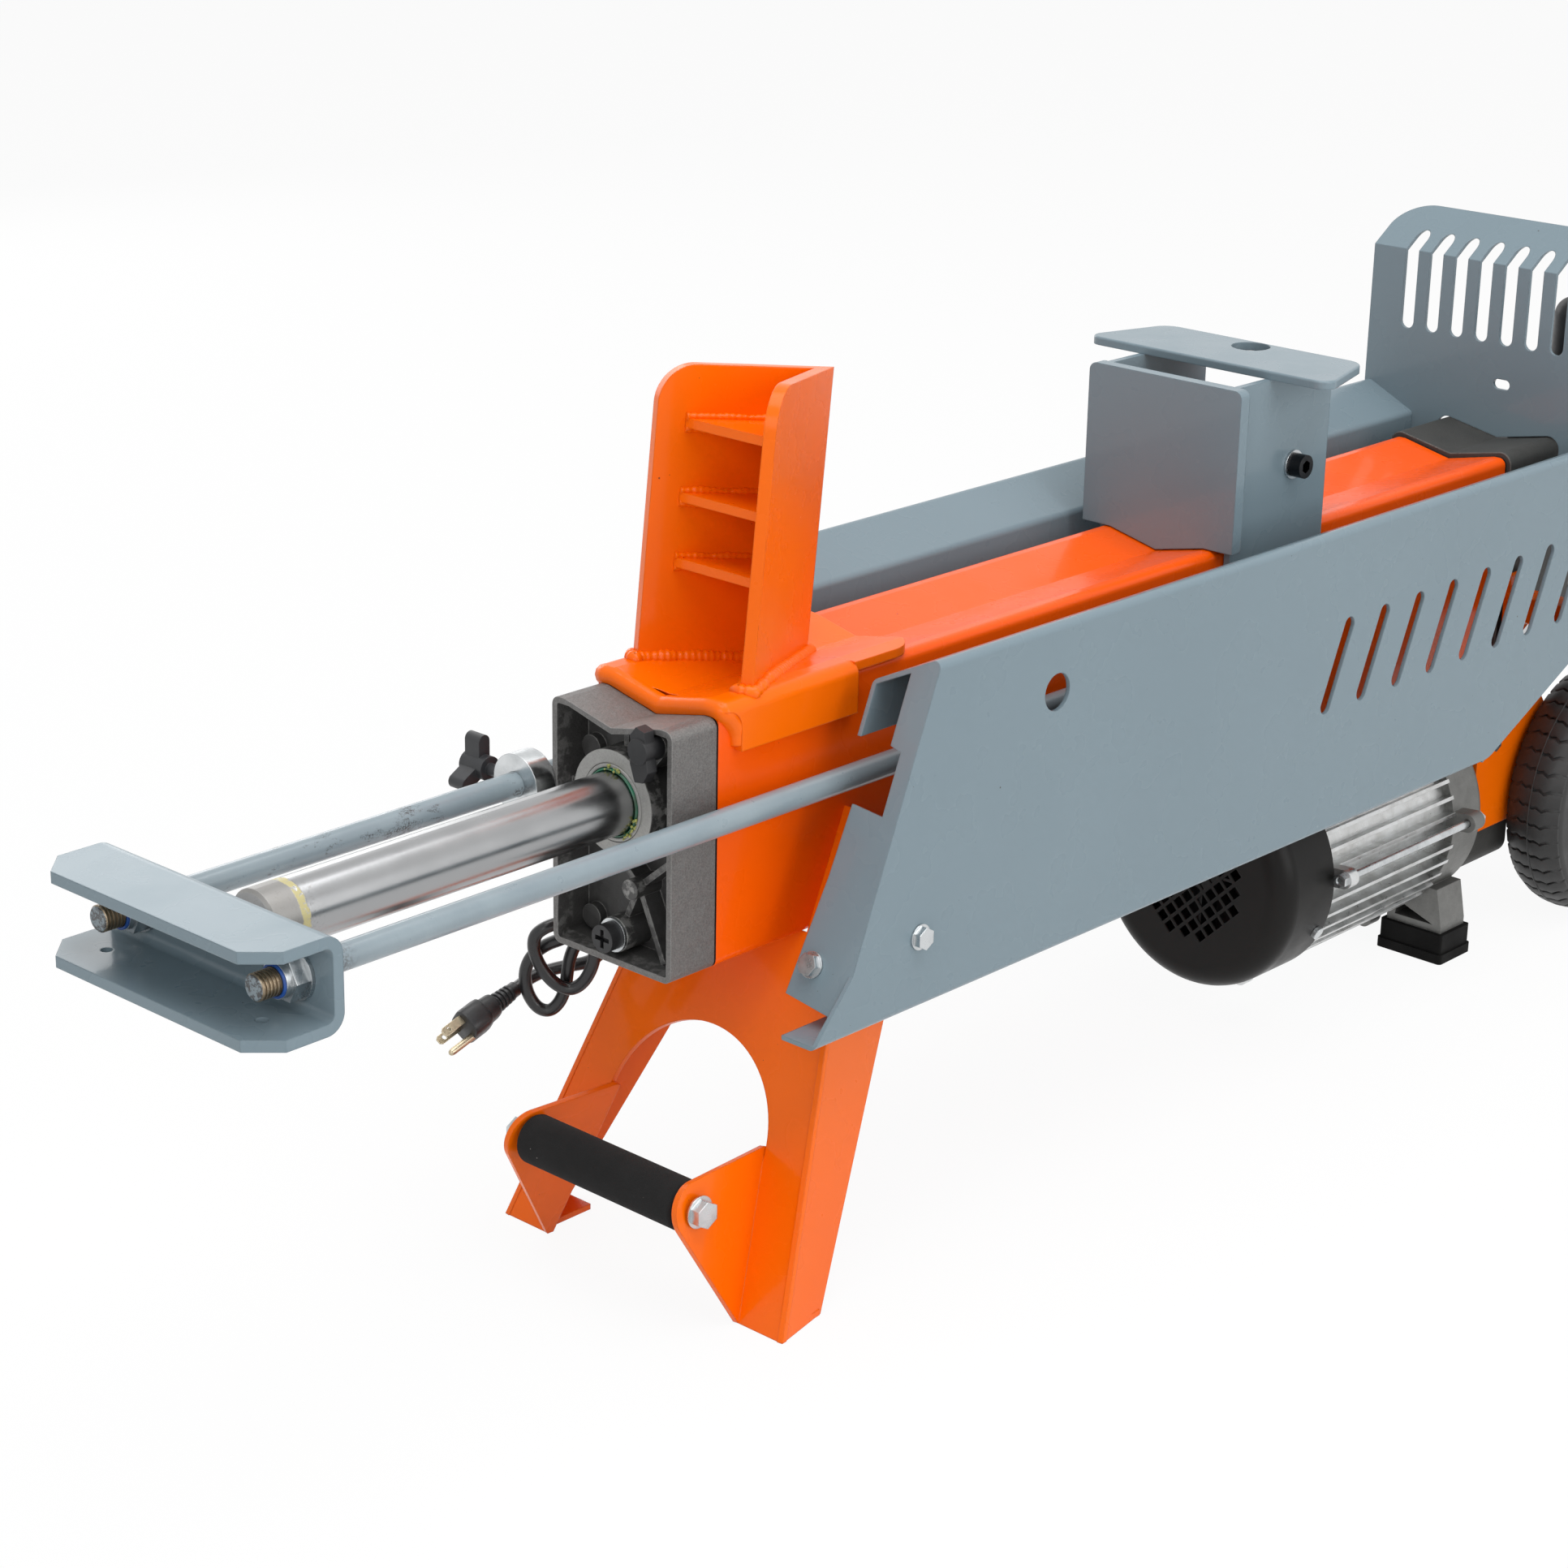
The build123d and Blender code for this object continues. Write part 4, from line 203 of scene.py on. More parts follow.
def loft(name, rings, finish, capped=True):
    """Skin over rings of points, each with the same count, closed at both ends or left open."""
    mesh = bpy.data.meshes.new(name)
    build = bmesh.new()
    rows = [[build.verts.new(point) for point in ring] for ring in rings]
    for row, after in zip(rows, rows[1:]):
        for here in range(len(row)):
            there = (here + 1) % len(row)
            build.faces.new((row[here], row[there], after[there], after[here]))
    if capped:
        build.faces.new(list(reversed(rows[0])))
        build.faces.new(rows[-1])
    bmesh.ops.recalc_face_normals(build, faces=build.faces)
    build.to_mesh(mesh)
    build.free()
    mesh.shade_smooth()
    mesh.set_sharp_from_angle(angle=math.radians(38))
    return new_piece(name, mesh, finish)


plug_rear = Vector((-0.0417, 0.1218, 0.1562))
plug_way = Vector((-0.955, 0, -0.29)).normalized()
plug_across = Vector((0.126, 0.647, -0.752))
plug_across = (plug_across - plug_way * plug_across.dot(plug_way)).normalized()
plug_up = plug_way.cross(plug_across)


def plug_ring(back, half, high, square, lift=0.0, sides=40):
    """Rounded outline across the plug, back metres in front of its rear face."""
    ring = []
    for side in range(sides):
        turn = 2 * math.pi * side / sides
        across, up = math.cos(turn), math.sin(turn)
        ring.append(plug_rear + plug_way * back
                    + plug_across * half * math.copysign(abs(across) ** (2 / square), across)
                    + plug_up * (lift + high * math.copysign(abs(up) ** (2 / square), up)))
    return ring


sleeve = [(-0.0200, 0.00475), (-0.0196, 0.0052), (-0.0150, 0.0052)]
for rib in range(4):
    start = -0.0146 + rib * 0.0034
    wide = 0.0058 + rib * 0.00028
    sleeve += [(start, wide - 0.0003), (start + 0.0003, wide), (start + 0.0017, wide),
               (start + 0.0020, wide - 0.0003), (start + 0.0021, wide - 0.0011),
               (start + 0.0031, wide - 0.0011)]
grip = [(-0.0006, 0.0066, 0.0066, 2), (0.0004, 0.0076, 0.0072, 2.2), (0.0012, 0.0088, 0.0078, 2.6),
        (0.0032, 0.0094, 0.0082, 3), (0.0085, 0.0097, 0.0085, 3.2), (0.0108, 0.0099, 0.0087, 3.2),
        (0.0116, 0.0116, 0.0096, 3.2), (0.0122, 0.0121, 0.0101, 3.2), (0.0150, 0.0124, 0.0104, 3.2),
        (0.0262, 0.0124, 0.0104, 3.2), (0.0275, 0.0120, 0.0100, 3.2), (0.0280, 0.0112, 0.0092, 3.2)]
moulded = new_finish("plug_black", (0.014, 0.014, 0.015), 0.42)
mottle(moulded, 160, 0.36, 0.52)
feed(moulded, "Normal", dent(moulded, grain(moulded, 1500, 2), 0.00004))
plug = loft("plug_grip", [plug_ring(back, wide, wide, 2) for back, wide in sleeve]
            + [plug_ring(*row) for row in grip], moulded)


def plate(name, outlines, thick, edge, place, finish):
    """Flat piece from closed outlines, the first one solid and the rest holes, with rounded edges."""
    flat = bpy.data.curves.new(name, "CURVE")
    flat.dimensions, flat.fill_mode = "2D", "BOTH"
    flat.extrude, flat.bevel_depth, flat.bevel_resolution = thick / 2 - edge, edge, 2
    flat.offset = -edge
    for outline in outlines:
        line = flat.splines.new("POLY")
        line.points.add(len(outline) - 1)
        for point, (x, y) in zip(line.points, outline):
            point.co = (x, y, 0, 1)
        line.use_cyclic_u = True
    holder = bpy.data.objects.new(name, flat)
    mesh = bpy.data.meshes.new_from_object(holder)
    bpy.data.objects.remove(holder)
    mesh.transform(place)
    tidy = bmesh.new()
    tidy.from_mesh(mesh)
    bmesh.ops.remove_doubles(tidy, verts=tidy.verts, dist=1e-6)
    bmesh.ops.recalc_face_normals(tidy, faces=tidy.faces)
    tidy.to_mesh(mesh)
    tidy.free()
    return new_piece(name, mesh, finish)


def circle(x, radius, sides=24):
    """Round outline with its centre on the x axis."""
    turns = [2 * math.pi * side / sides for side in range(sides)]
    return [(x + radius * math.cos(turn), radius * math.sin(turn)) for turn in turns]


def joined(name, pieces):
    """One object from several that have the same finish."""
    build = bmesh.new()
    for piece in pieces:
        build.from_mesh(piece.data)
    mesh = bpy.data.meshes.new(name)
    build.to_mesh(mesh)
    build.free()
    whole = new_piece(name, mesh, pieces[0].data.materials[0])
    for piece in pieces:
        bpy.data.objects.remove(piece)
    return whole


brass = new_finish("plug_brass", (0.55, 0.47, 0.33), 0.32, 1.0)
feed(brass, "Base Color", tint(brass, grain(brass, 500, 3), (0.62, 0.54, 0.38), (0.42, 0.35, 0.25)))
feed(brass, "Normal", dent(brass, grain(brass, 900, 2, stretch=(1, 1, 4)), 0.00003))
blade_gap, blade_shift, blade_out, blade_wide, blade_thick = 0.0127, -0.004, 0.017, 0.0063, 0.0015
contacts = []
for side in (-1, 1):
    foot = plug_rear + plug_way * 0.027 + plug_across * side * blade_gap / 2 + plug_up * blade_shift
    way = Matrix((plug_way, plug_up, plug_way.cross(plug_up))).transposed().to_4x4()
    place = Matrix.Translation(foot) @ way
    long, half = blade_out + 0.001, blade_wide / 2
    outline = [(0, -half), (long - 0.0018, -half), (long, -half + 0.0014), (long, half - 0.0014),
               (long - 0.0018, half), (0, half)]
    contacts.append(plate(f"blade_{side}", [outline, circle(0.0126, 0.0016)], blade_thick, 0.0002,
                          place, brass))
pin_rings = [(0.0270, 0.0024), (0.0440, 0.0024), (0.0462, 0.0022), (0.0474, 0.0017), (0.0480, 0.0009)]
contacts.append(loft("pin", [plug_ring(back, wide, wide, 2, lift=0.0079, sides=20)
                             for back, wide in pin_rings], brass))
contact_set = joined("plug_contacts", contacts)
for piece, slot, node in ((mains_cord, "cord_black", ("cord_tube", "cord_loops")),
                          (plug, "cord_black", ("plug_body",)),
                          (contact_set, "plug_metal", ("plug_blades",))):
    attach(piece, "machine")
    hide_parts(*node)


def dress(finish, *names):
    """Gives CAD pieces a finish."""
    for name in names:
        nodes[name].data.materials.clear()
        nodes[name].data.materials.append(finish)


dress(moulded, "cord_gland")

# ---------------------------------------------------------------- beam
# A square steel tube that carries the whole machine and holds its oil. It is sprayed with a thick
# glossy orange enamel, which rounds every edge, and its top is folded into a shallow vee.


def rounded(finish, radius):
    """Normal that turns over an edge of that radius, as paint and folded sheet do."""
    return add(finish, "Bevel", samples=4, Radius=radius).outputs[0]


def edge_share(finish, normal, low, high):
    """1 along the edges and 0 on flat faces, from a rounded normal."""
    face = add(finish, "NewGeometry").outputs["True Normal"]
    turned = add(finish, "VectorMath", operation="DOT_PRODUCT", i0=normal, i1=face).outputs["Value"]
    return spread(finish, maths(finish, "SUBTRACT", 1.0, turned), low, high)


def specks(finish, scale, size, share):
    """Small scattered spots: 1 in a spot, for that share of the cells."""
    spot = add(finish, "TexCoord").outputs["Object"]
    cells = add(finish, "TexVoronoi", Vector=spot, Scale=scale)
    near = spread(finish, cells.outputs["Distance"], size, size * 0.6)
    lucky = add(finish, "SeparateColor", Color=cells.outputs["Color"]).outputs[0]
    return maths(finish, "MULTIPLY", near, maths(finish, "LESS_THAN", lucky, share))


def enamel(name, colour, deep, chip, waves, chips, gloss):
    """Glossy sprayed paint: slow tone, orange peel, rounded edges and a few chipped spots."""
    paint = new_finish(name, colour, 0.3, Coat_Weight=gloss, Coat_Roughness=0.07, Specular_IOR_Level=0.16)
    edges = rounded(paint, 0.0013)
    tone = tint(paint, spread(paint, grain(paint, 5, 2), 0.3, 0.75), colour, deep)
    pitted = maths(paint, "MAXIMUM", specks(paint, 75, 0.055, chips), specks(paint, 210, 0.07, chips * 0.6))
    nicks = maths(paint, "MULTIPLY", edge_share(paint, edges, 0.06, 0.2),
                   spread(paint, grain(paint, 120, 4, 0.65), 0.68, 0.74))
    wear_and_edge_highlight = maths(paint, "MAXIMUM", pitted, nicks)
    feed(paint, "Base Color", tint(paint, wear_and_edge_highlight, tone, chip))
    feed(paint, "Roughness", spread(paint, grain(paint, 26, 3), 0.3, 0.75, 0.22, 0.36))
    slow = dent(paint, grain(paint, 22, 1), waves, edges)
    peel = dent(paint, grain(paint, 420, 1), 0.000025, slow)
    feed(paint, "Normal", peel)
    feed(paint, "Coat Normal", peel)
    return paint


orange = enamel("orange_paint", (0.90, 0.150, 0.0), (0.86, 0.125, 0.0), (0.12, 0.02, 0.01),
                0.00020, 0.06, 0.16)
dress(orange, "saddle", "wedge_blades", "wedge_gussets", "front_leg", "axle_bracket")
# Painted shade: the beam gets its own deeper, redder copy of the same orange, standing in for the shadow of
# the saddle and panels over its sides.
beam_orange_painted_shade = enamel("beam_paint", (0.93, 0.105, 0.0), (0.88, 0.090, 0.0), (0.12, 0.02, 0.01),
                     0.00020, 0.06, 0.20)
dress(beam_orange_painted_shade, "beam_tank")

# ---------------------------------------------------------------- gaskets, front cover and tank bolts
# The cover is a sand-cast aluminium lid. Its outer walls are grey and sandy and lighter along their edges as
# a painted highlight, its pocket is darkened as painted shade with painted highlights along its edges and rib
# tops, and the boss around the rod is faced.
# Long bolts pass from the rear casting through the tank into its lugs.
cover_low, cover_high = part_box("front_cover")
cover_wall, cover_roof, boss_r, rib_sunk = 0.0034, 0.0120, 0.0330, 0.0120
rod_z = 0.331


def casting(name, wall, pocket_shade, faced, rim_x, centre_z):
    """Sand-cast aluminium with a pocket in painted shade, painted highlights on its edges and rib tops, and a
    faced ring around the rod.
    """
    cast = new_finish(name, wall, 0.55, 0.6)
    edges = rounded(cast, 0.0012)
    spot = add(cast, "TexCoord").outputs["Object"]
    axes = add(cast, "SeparateXYZ", Vector=spot)
    x, y, z = axes.outputs
    sand = grain(cast, 900, 4, 0.7)
    flakes = grain(cast, 160, 5, 0.65)
    wall_y, floor_z, roof_z = cover_high.y - cover_wall, cover_low.z + cover_wall, cover_high.z - cover_roof
    side = spread(cast, maths(cast, "ABSOLUTE", y), wall_y - 0.0010, wall_y)
    low = spread(cast, z, floor_z + 0.0010, floor_z)
    high = spread(cast, z, roof_z - 0.0015, roof_z)
    outer = maths(cast, "MAXIMUM", side, maths(cast, "MAXIMUM", low, high))
    off_z = maths(cast, "SUBTRACT", z, centre_z)
    radius = maths(cast, "SQRT", maths(cast, "ADD", maths(cast, "MULTIPLY", y, y),
                                         maths(cast, "MULTIPLY", off_z, off_z)))
    near = spread(cast, radius, boss_r + 0.0008, boss_r)
    front = spread(cast, x, rim_x + 0.0022, rim_x + 0.0012)
    boss = maths(cast, "MULTIPLY", near, front)
    # Painted highlights: the rib tops and the edges in the pocket take the bright faced colour.
    rib_top_glints = maths(cast, "MULTIPLY", spread(cast, x, rim_x + rib_sunk + 0.0020, rim_x + rib_sunk),
                      spread(cast, flakes, 0.46, 0.58))
    edge_glints = maths(cast, "MULTIPLY", edge_share(cast, edges, 0.03, 0.3), spread(cast, flakes, 0.36, 0.55))
    painted_glints = maths(cast, "MAXIMUM", edge_glints, maths(cast, "MULTIPLY", rib_top_glints, 0.6))
    # Painted shade: the pocket is coloured much darker than the outer walls, with the painted highlights
    # mixed in.
    pocket = tint(cast, painted_glints, tint(cast, flakes, pocket_shade, [c * 1.9 for c in pocket_shade]), faced)
    skin = tint(cast, spread(cast, sand, 0.3, 0.75), [c * 0.72 for c in wall], [c * 1.45 for c in wall])
    # Painted highlight: the outer walls lighten towards the faced colour along their edges.
    skin = tint(cast, maths(cast, "MULTIPLY", edge_share(cast, edges, 0.04, 0.3), 0.7), skin, faced)
    ring = tint(cast, spread(cast, sand, 0.35, 0.7), [c * 0.8 for c in faced], faced)
    shade = tint(cast, outer, pocket, skin)
    feed(cast, "Base Color", tint(cast, boss, shade, ring))
    feed(cast, "Roughness", spread(cast, flakes, 0.3, 0.7, 0.42, 0.66))
    rough = dent(cast, grain(cast, 60, 4, 0.6), 0.0008, edges)
    feed(cast, "Normal", dent(cast, sand, 0.00022, rough))
    return cast


cast_cover = casting("cast_aluminium", (0.165, 0.160, 0.155), (0.062, 0.061, 0.060), (0.40, 0.395, 0.38),
                     cover_low.x, rod_z)
dress(cast_cover, "front_cover")

rubber = new_finish("black_rubber", (0.006, 0.006, 0.006), 0.62, Specular_IOR_Level=0.10)
feed(rubber, "Base Color", tint(rubber, grain(rubber, 60, 3), (0.003, 0.003, 0.003), (0.007, 0.0067, 0.0064)))
mottle(rubber, 45, 0.48, 0.72)
feed(rubber, "Normal", dent(rubber, grain(rubber, 700, 3), 0.00006, rounded(rubber, 0.0008)))
dress(rubber, "gaskets")


def metal(name, bright, dull, rough, scratch, edge=0.0006):
    """Bare or plated steel with a slow stain, fine scratches along one direction and round edges."""
    steel = new_finish(name, bright, rough, 1.0)
    feed(steel, "Base Color", tint(steel, spread(steel, grain(steel, 55, 4, 0.6), 0.4, 0.68), bright, dull))
    mottle(steel, 150, rough * 0.75, rough * 1.35)
    feed(steel, "Normal", dent(steel, grain(steel, 500, 3, stretch=scratch), 0.00004, rounded(steel, edge)))
    return steel


bare = metal("bare_steel", (0.50, 0.50, 0.50), (0.34, 0.33, 0.32), 0.36, (1, 1, 0.1))
dress(bare, "tank_bolts")

# ---------------------------------------------------------------- bleed screw and oil plug
# Turned by hand and by a key: both are moulded in black nylon. The oil plug has a hexagon recess
# and seals on a bright washer.


def plastic(name, colour, rough, texture=900, depth=0.00005):
    """Moulded plastic with a fine spark-eroded texture and a painted highlight along its edges."""
    made = new_finish(name, colour, rough)
    edges = rounded(made, 0.0007)
    # Painted highlight: the edges are lightened towards a grey.
    edge_highlight = maths(made, "MULTIPLY", edge_share(made, edges, 0.05, 0.35), 0.35)
    tone = tint(made, grain(made, 70, 3), colour, [c * 1.5 for c in colour])
    feed(made, "Base Color", tint(made, edge_highlight, tone, [c * 3 + 0.01 for c in colour]))
    mottle(made, 120, rough * 0.85, rough * 1.2)
    feed(made, "Normal", dent(made, grain(made, texture, 3, 0.6), depth, edges))
    return made


black_nylon = plastic("black_plastic", (0.013, 0.013, 0.014), 0.45)
dress(black_nylon, "bleed_screw", "oil_plug")
zinc = metal("zinc", (0.62, 0.64, 0.65), (0.44, 0.46, 0.47), 0.28, (1, 1, 1))
dress(zinc, "oil_plug_washer")

# ---------------------------------------------------------------- cylinder, piston and rod
# The rod is ground and hard-chromed. Its last part before the yoke is left dull, and a ring of
# dried preservative wax marks where the polish begins.
rod_dull_x, wax_x, stub_x, scuff_x = -0.3105, -0.3065, -0.3305, -0.2850
chrome = new_finish("rod_chrome", (0.40, 0.405, 0.41), 0.2, 1.0)
along = add(chrome, "SeparateXYZ", Vector=add(chrome, "TexCoord").outputs["Object"]).outputs[0]
ragged = maths(chrome, "ADD", along, maths(chrome, "MULTIPLY", grain(chrome, 190, 4, 0.7), 0.004))
dull = spread(chrome, ragged, rod_dull_x + 0.004, rod_dull_x + 0.001)
stub = spread(chrome, along, stub_x, stub_x - 0.0007)
from_wax = maths(chrome, "ABSOLUTE", maths(chrome, "SUBTRACT", ragged, wax_x))
wax = maths(chrome, "MULTIPLY", spread(chrome, from_wax, 0.0030, 0.0022),
            spread(chrome, grain(chrome, 420, 3), 0.30, 0.46))
scuff = maths(chrome, "MULTIPLY", spread(chrome, along, scuff_x, scuff_x - 0.020),
               spread(chrome, grain(chrome, 600, 4, 0.7), 0.56, 0.66))
shine = tint(chrome, dull, (0.36, 0.365, 0.37), (0.26, 0.255, 0.245))
shine = tint(chrome, stub, shine, (0.30, 0.30, 0.30))
shine = tint(chrome, maths(chrome, "MULTIPLY", scuff, 0.6), shine, (0.22, 0.21, 0.20))
feed(chrome, "Base Color", tint(chrome, wax, shine, (0.46, 0.41, 0.20)))
feed(chrome, "Metallic", spread(chrome, wax, 0.0, 1.0, 1.0, 0.1))
feed(chrome, "Roughness", maths(chrome, "ADD", spread(chrome, grain(chrome, 40, 4), 0.3, 0.7, 0.20, 0.28),
                                 maths(chrome, "MULTIPLY", maths(chrome, "MAXIMUM", dull, wax), 0.24)))
rings = grain(chrome, 60, 3, 0.6, stretch=(60, 1, 1))
feed(chrome, "Normal", dent(chrome, maths(chrome, "ADD", rings, maths(chrome, "MULTIPLY", wax, 6.0)),
                            0.00001, rounded(chrome, 0.0006)))
dress(chrome, "piston_rod")
dress(bare, "cylinder_tube", "piston")

# ---------------------------------------------------------------- rod wiper
# A lip ring of green polyurethane sits in a thin metal case that is pressed into the boss. It
# leaves yellow grease, scraped off the rod, in lumps around the lip.
wiper_green = new_finish("seal_green", (0.0, 0.11, 0.055), 0.35, Subsurface_Weight=0.05)
feed(wiper_green, "Base Color", tint(wiper_green, spread(wiper_green, grain(wiper_green, 140, 3), 0.4, 0.62),
                                     (0.002, 0.125, 0.062), (0.03, 0.07, 0.04)))
feed(wiper_green, "Normal", dent(wiper_green, grain(wiper_green, 500, 3), 0.00008))


def turned(name, profile, finish, centre, axis="X", sides=96):
    """Turned ring or disc: profile holds (place along the axis, radius)."""
    rings = []
    for place, radius in profile:
        ring = []
        for side in range(sides):
            turn = 2 * math.pi * side / sides
            one, two = radius * math.cos(turn), radius * math.sin(turn)
            ring.append((centre[0] + place, centre[1] + one, centre[2] + two) if axis == "X" else
                        (centre[0] + one, centre[1] + place, centre[2] + two))
        rings.append(ring)
    return loft(name, rings, finish, capped=False)


seat_x = -0.0470
lip = [(seat_x, 0.02010), (-0.0530, 0.02012), (-0.0548, 0.02035), (-0.0553, 0.0208), (-0.0548, 0.0215),
       (-0.0536, 0.0221), (seat_x, 0.0221), (seat_x, 0.02010)]
shell = [(seat_x, 0.0222), (-0.0540, 0.0222), (-0.0544, 0.0226), (-0.0544, 0.0244), (-0.0532, 0.0249),
         (seat_x, 0.0249), (seat_x, 0.0222)]
wiper = turned("wiper_ring", lip, wiper_green, (0, 0, rod_z))
wiper_case = turned("wiper_case", shell, cast_cover, (0, 0, rod_z))
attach(wiper_case, "machine")
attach(wiper, "machine")
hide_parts("rod_wiper_seal")


def node_tree(name, **sizes):
    """Geometry Nodes tree with geometry in and out and named inputs for its sizes."""
    tree = bpy.data.node_groups.new(name, "GeometryNodeTree")
    tree.interface.new_socket("Geometry", in_out="INPUT", socket_type="NodeSocketGeometry")
    tree.interface.new_socket("Geometry", in_out="OUTPUT", socket_type="NodeSocketGeometry")
    for size, value in sizes.items():
        kind = "NodeSocketInt" if isinstance(value, int) else "NodeSocketFloat"
        socket = tree.interface.new_socket(size.replace("_", " "), in_out="INPUT", socket_type=kind)
        socket.default_value = value
    tree.nodes.new("NodeGroupInput")
    tree.nodes.new("NodeGroupOutput")
    return tree


def grown(name, start, tree, last, finish, **sizes):
    """Ends a tree, runs it on the start object with these sizes and returns the plain mesh piece."""
    if not any(link.to_node.bl_idname == "NodeGroupOutput" for link in tree.links):
        real = step(tree, "GeometryNodeRealizeInstances", Geometry=last)
        done = step(tree, "GeometryNodeSetMaterial", Geometry=real.outputs[0], Material=finish)
        tree.links.new(done.outputs[0], tree.nodes["Group Output"].inputs[0])
    grow = start.modifiers.new("grow", "NODES")
    grow.node_group = tree
    for item in tree.interface.items_tree:
        if item.in_out == "INPUT" and item.name.replace(" ", "_") in sizes:
            grow[item.identifier] = sizes[item.name.replace(" ", "_")]
    mesh = bpy.data.meshes.new_from_object(start.evaluated_get(bpy.context.evaluated_depsgraph_get()))
    bpy.data.objects.remove(start)
    mesh.shade_smooth()
    return new_piece(name, mesh, finish)


def path(name, lines):
    """Curve object with one straight-run spline for each list of points."""
    curve = bpy.data.curves.new(name, "CURVE")
    curve.dimensions = "3D"
    for points in lines:
        line = curve.splines.new("POLY")
        line.points.add(len(points) - 1)
        for point, place in zip(line.points, points):
            point.co = (*place, 1)
    holder = bpy.data.objects.new(name, curve)
    scene.collection.objects.link(holder)
    return holder


grease = new_finish("grease", (0.40, 0.36, 0.08), 0.4, Subsurface_Weight=0.1)
feed(grease, "Base Color", tint(grease, grain(grease, 300, 3), (0.46, 0.42, 0.10), (0.20, 0.24, 0.07)))
feed(grease, "Normal", dent(grease, grain(grease, 700, 3), 0.0002))
lump_tree = node_tree("grease_lumps", Spacing=0.0009, Lump=0.0011, Scatter=0.0016)
size = lump_tree.nodes["Group Input"].outputs
dots = step(lump_tree, "GeometryNodeResampleCurve", mode="LENGTH", Curve=size[0], Length=size["Spacing"])
dots = step(lump_tree, "GeometryNodeCurveToPoints", mode="EVALUATED", Curve=dots.outputs[0])
shake = step(lump_tree, "FunctionNodeRandomValue", data_type="FLOAT_VECTOR", i0=(-1, -1, -1), i1=(1, 1, 1),
             Seed=7)
shake = step(lump_tree, "ShaderNodeVectorMath", operation="SCALE", i0=shake.outputs[0], Scale=size["Scatter"])
moved = step(lump_tree, "GeometryNodeSetPosition", Geometry=dots.outputs[0], Offset=shake.outputs[0])
ball = step(lump_tree, "GeometryNodeMeshIcoSphere", Radius=size["Lump"], Subdivisions=2)
fat = step(lump_tree, "FunctionNodeRandomValue", data_type="FLOAT", i2=0.35, i3=1.0, Seed=3)
lumps = step(lump_tree, "GeometryNodeInstanceOnPoints", Points=moved.outputs[0], Instance=ball.outputs[0],
             Scale=fat.outputs[1])


def around_rod(x, radius, first, last, count=16):
    """Points on an arc around the rod, angles in degrees from +Y towards +Z."""
    turns = [math.radians(first + (last - first) * k / count) for k in range(count + 1)]
    return [(x, radius * math.cos(turn), rod_z + radius * math.sin(turn)) for turn in turns]


lip_grease = grown("lip_grease", path("grease_path", [around_rod(-0.0551, 0.0222, 192, 242),
                                                      around_rod(-0.0549, 0.0222, 76, 108)]),
                   lump_tree, lumps.outputs[0], grease)
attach(lip_grease, "machine")

# ---------------------------------------------------------------- yoke and tie rods
# A folded channel is welded to the rod's end. Two threaded steel rods hang on it with locking
# nuts and pull the pusher. Yoke and rods are painted blue-grey; the nuts went on afterwards, so
# the threads are scraped bare and brown with thread oil, and each nut shows its blue insert.
blue_grey = enamel("grey_paint", (0.185, 0.245, 0.280), (0.176, 0.234, 0.268), (0.05, 0.045, 0.04),
                   0.00004, 0.10, 0.25)
dress(blue_grey, "yoke")

thread_x, tie_end_x, tie_y, tie_z = -0.3475, -0.3842, 0.0677, 0.3297
rod_paint = new_finish("tie_rod_paint", (0.185, 0.245, 0.280), 0.32, Coat_Weight=0.3, Coat_Roughness=0.08)
spot = add(rod_paint, "SeparateXYZ", Vector=add(rod_paint, "TexCoord").outputs["Object"])
thread = spread(rod_paint, spot.outputs[0], thread_x, thread_x - 0.0010)
end_face = spread(rod_paint, spot.outputs[0], tie_end_x, tie_end_x - 0.0005)
oily = maths(rod_paint, "MULTIPLY", thread, maths(rod_paint, "SUBTRACT", 1.0, end_face))
far = spread(rod_paint, spot.outputs[1], 0.0, 0.01)
scrape = maths(rod_paint, "MULTIPLY", far,
               spread(rod_paint, grain(rod_paint, 42, 5, 0.75, (0.45, 1, 1)), 0.56, 0.64))
scrape = maths(rod_paint, "MULTIPLY", scrape, spread(rod_paint, grain(rod_paint, 900, 3), 0.42, 0.56))
near_yoke = maths(rod_paint, "MULTIPLY", spread(rod_paint, spot.outputs[0], -0.318, -0.338),
                   spread(rod_paint, grain(rod_paint, 420, 4, 0.7), 0.47, 0.55))
scrape = maths(rod_paint, "MAXIMUM", scrape, near_yoke)
tone = tint(rod_paint, spread(rod_paint, grain(rod_paint, 30, 4), 0.35, 0.7), (0.235, 0.29, 0.32),
            (0.20, 0.25, 0.28))
tone = tint(rod_paint, scrape, tone, (0.045, 0.045, 0.047))
feed(rod_paint, "Base Color", tint(rod_paint, oily, tone, (0.30, 0.23, 0.15)))
feed(rod_paint, "Metallic", maths(rod_paint, "MULTIPLY", oily, 0.85))
mottle(rod_paint, 80, 0.26, 0.42)
pits = maths(rod_paint, "SUBTRACT", grain(rod_paint, 300, 3), scrape)
feed(rod_paint, "Normal", dent(rod_paint, pits, 0.00008, rounded(rod_paint, 0.0005)))
dress(rod_paint, "tie_rods")

